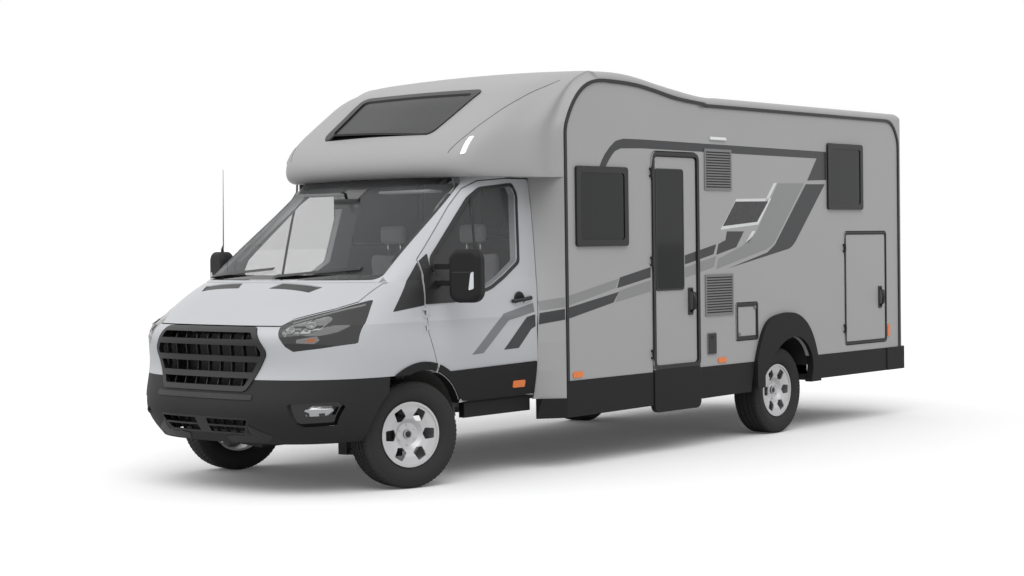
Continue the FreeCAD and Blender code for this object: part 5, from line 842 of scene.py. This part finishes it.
def swell(objects, cap):
    """Cloth simulation with pressure inside; no point moves further than the cap."""
    starts = [[v.co.copy() for v in obj.data.vertices] for obj in objects]
    for obj in objects:
        cloth = obj.modifiers.new("cloth", "CLOTH")
        cloth.settings.use_pressure = True
        cloth.settings.uniform_pressure_force = PRESSURE
        cloth.settings.effector_weights.gravity = 0.0
        cloth.point_cache.frame_start = 1
        cloth.point_cache.frame_end = LAST_FRAME
    for step in range(1, LAST_FRAME + 1):
        bpy.context.scene.frame_set(step)
    graph = bpy.context.evaluated_depsgraph_get()
    ends = [[v.co.copy() for v in obj.evaluated_get(graph).data.vertices] for obj in objects]
    for obj, start, end in zip(objects, starts, ends):
        obj.modifiers.clear()
        for v, a, b in zip(obj.data.vertices, start, end):
            move = b - a
            if move.length > cap:
                move *= cap / move.length
            v.co = a + move
    bpy.context.scene.frame_set(1)


def sewn(obj, axis, lines, face, depth=0.005, reach=0.010):
    """Channels pressed into one side of a pad, along lines at given places of an axis."""
    sign = 1 if face > 0 else -1
    way = abs(face) - 1
    middle = sum((v.co[way] for v in obj.data.vertices), 0.0) / len(obj.data.vertices)
    for v in obj.data.vertices:
        if (v.co[way] - middle) * sign > 0:
            for line in lines:
                v.co[way] -= sign * depth * math.exp(-((v.co[axis] - line) / reach) ** 2)


def finished(obj, body="body"):
    for face in obj.data.polygons:
        face.use_smooth = True
    soft = obj.modifiers.new("round", "SUBSURF")
    soft.levels = soft.render_levels = 1
    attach(obj, body)
    return obj


def mirrored_pad(obj, name):
    copy = bpy.data.objects.new(name, obj.data.copy())
    for v in copy.data.vertices:
        v.co.x = -v.co.x
    copy.data.flip_normals()
    bpy.context.scene.collection.objects.link(copy)
    return copy


MOST_SWELL = 0.010
cushion = stuffed("seat_cushion_left", (0.162, 0.772, 0.862), (0.638, 1.172, 0.975), 0.045, 0.16, 0.03, 0.015,
                  True)
backrest = stuffed("seat_back_left", (0.162, 1.187, 0.900), (0.638, 1.293, 1.548), 0.048, 0.16, 0.04, 0.015)
headrest = stuffed("seat_head_left", (0.280, 1.187, 1.610), (0.520, 1.272, 1.750), 0.038, 0.14, 0.04, 0.010)
mattress = stuffed("bed_mattress", (-1.080, 5.095, 1.744), (1.080, 6.080, 1.790), 0.022, 0.10, 0.012, 0.020,
                   True)
bench_pad = stuffed("bench_cushion", (-1.105, 1.515, 1.084), (-0.235, 2.085, 1.132), 0.022, 0.12, 0.02, 0.016,
                    True)
pads = [cushion, backrest, headrest, mattress, bench_pad]
swell(pads, MOST_SWELL)
sewn(cushion, 0, (0.265, 0.535), 3)
sewn(cushion, 1, (0.900 + SHIFT,), 3)
sewn(backrest, 0, (0.265, 0.535), -2)
sewn(backrest, 2, (1.060, 1.230, 1.400), -2)
sewn(mattress, 0, (-0.54, 0.0, 0.54), 3, 0.004, 0.016)
sewn(bench_pad, 0, (-0.670,), 3, 0.004, 0.012)
for pad in (cushion, backrest, headrest):
    finished(mirrored_pad(pad, pad.name.replace("left", "right")))
    finished(pad)
finished(mattress)
finished(bench_pad)
for side, word in SIDES:
    slab("seat_base_" + word, (min(side * 0.215, side * 0.585), 0.810 + SHIFT, 0.602),
         (max(side * 0.215, side * 0.585), 1.190 + SHIFT, 0.858), TRIM, "body", 0.012, 0.020)
    lathe("seat_dial_" + word, [(0.0, 0.034), (0.010, 0.033), (0.016, 0.027), (0.016, 0.003)],
          (side * 0.640, 1.215 + SHIFT, 0.915), (side, 0, 0), TRIM, "body", 28)
    for k, x in enumerate((0.335, 0.465)):
        post = [(side * x, y + SHIFT, z) for y, z in ((1.240, 1.515), (1.240, 1.575), (1.236, 1.640))]
        tube("headrest_post_%d_%s" % (k, word), post, [0.007, 0.007, 0.007], CHROME, "body")
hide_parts("cab_seats")


# Camera, light and floor
YAW, PITCH, ROLL = math.radians(40.178), math.radians(-1.379), math.radians(-0.794)
FOCAL = 65.13
SENSOR_WIDTH = 36.0
CAMERA_SPOT = (9.327, -8.907 + SHIFT, 1.605)
ahead = Vector((-math.sin(YAW) * math.cos(PITCH), math.cos(YAW) * math.cos(PITCH), math.sin(PITCH)))
flat = Vector((math.cos(YAW), math.sin(YAW), 0.0))
above = flat.cross(ahead)
right = flat * math.cos(ROLL) + above * math.sin(ROLL)
up = above * math.cos(ROLL) - flat * math.sin(ROLL)
lens = bpy.data.cameras.new("camera")
lens.lens = FOCAL
lens.sensor_width = SENSOR_WIDTH
camera = bpy.data.objects.new("camera", lens)
bpy.context.scene.collection.objects.link(camera)
turn = Matrix((right, up, -ahead)).transposed().to_4x4()
camera.matrix_world = Matrix.Translation(CAMERA_SPOT) @ turn
bpy.context.scene.camera = camera


def sun(name, direction, angle, strength):
    data = bpy.data.lights.new(name, "SUN")
    data.angle = math.radians(angle)
    data.energy = strength
    obj = bpy.data.objects.new(name, data)
    bpy.context.scene.collection.objects.link(obj)
    obj.rotation_euler = Vector(direction).to_track_quat("-Z", "Y").to_euler()


sun("key", (-0.55, 0.50, -1.0), 50, 1.2)
sun("fill", (0.55, 0.75, -0.9), 60, 0.5)

# The world lights the part at one level, and is seen white itself, also in gloss and through glass
WORLD_LIGHT = 0.66
WORLD_SEEN = 1.0
world = bpy.data.worlds.new("world")
bpy.context.scene.world = world
world.use_nodes = True
tree = world.node_tree
back = tree.nodes["Background"]
back.inputs["Color"].default_value = (1, 1, 1, 1)
rays = add(tree, "ShaderNodeLightPath")
through = add(tree, "ShaderNodeMath", operation="MAXIMUM")
tree.links.new(rays.outputs["Is Glossy Ray"], through.inputs[0])
tree.links.new(rays.outputs["Is Transmission Ray"], through.inputs[1])
seen = add(tree, "ShaderNodeMath", operation="MAXIMUM")
tree.links.new(rays.outputs["Is Camera Ray"], seen.inputs[0])
tree.links.new(through.outputs[0], seen.inputs[1])
level = add(tree, "ShaderNodeMapRange")
level.inputs["To Min"].default_value = WORLD_LIGHT
level.inputs["To Max"].default_value = WORLD_SEEN
tree.links.new(seen.outputs[0], level.inputs["Value"])
tree.links.new(level.outputs["Result"], back.inputs["Strength"])

ground = bpy.data.meshes.new("floor")
FLOOR = 900.0
ground.from_pydata([(-FLOOR, -FLOOR, 0), (FLOOR, -FLOOR, 0), (FLOOR, FLOOR, 0), (-FLOOR, FLOOR, 0)], [],
                   [[0, 1, 2, 3]])
floor = bpy.data.objects.new("floor", ground)
bpy.context.scene.collection.objects.link(floor)
paper = bpy.data.materials.new("floor_paper")
paper.use_nodes = True
tree = paper.node_tree
tree.nodes.clear()
matt = add(tree, "ShaderNodeBsdfDiffuse")
tone = add(tree, "ShaderNodeMix", data_type="RGBA")
tone.inputs["A"].default_value = (0.62, 0.62, 0.62, 1)
tone.inputs["B"].default_value = (1.0, 1.0, 1.0, 1)
tree.links.new(tone.outputs["Result"], matt.inputs["Color"])
glow = add(tree, "ShaderNodeEmission")
rays = add(tree, "ShaderNodeLightPath")
share = add(tree, "ShaderNodeMath", operation="MULTIPLY")
share.inputs[1].default_value = 0.05
tree.links.new(rays.outputs["Is Camera Ray"], share.inputs[0])
tree.links.new(rays.outputs["Is Camera Ray"], tone.inputs["Factor"])
tree.links.new(share.outputs[0], glow.inputs["Strength"])
joint = add(tree, "ShaderNodeAddShader")
tree.links.new(matt.outputs[0], joint.inputs[0])
tree.links.new(glow.outputs[0], joint.inputs[1])
tree.links.new(joint.outputs[0], add(tree, "ShaderNodeOutputMaterial").inputs["Surface"])
ground.materials.append(paper)

bpy.context.scene.view_settings.view_transform = "Standard"
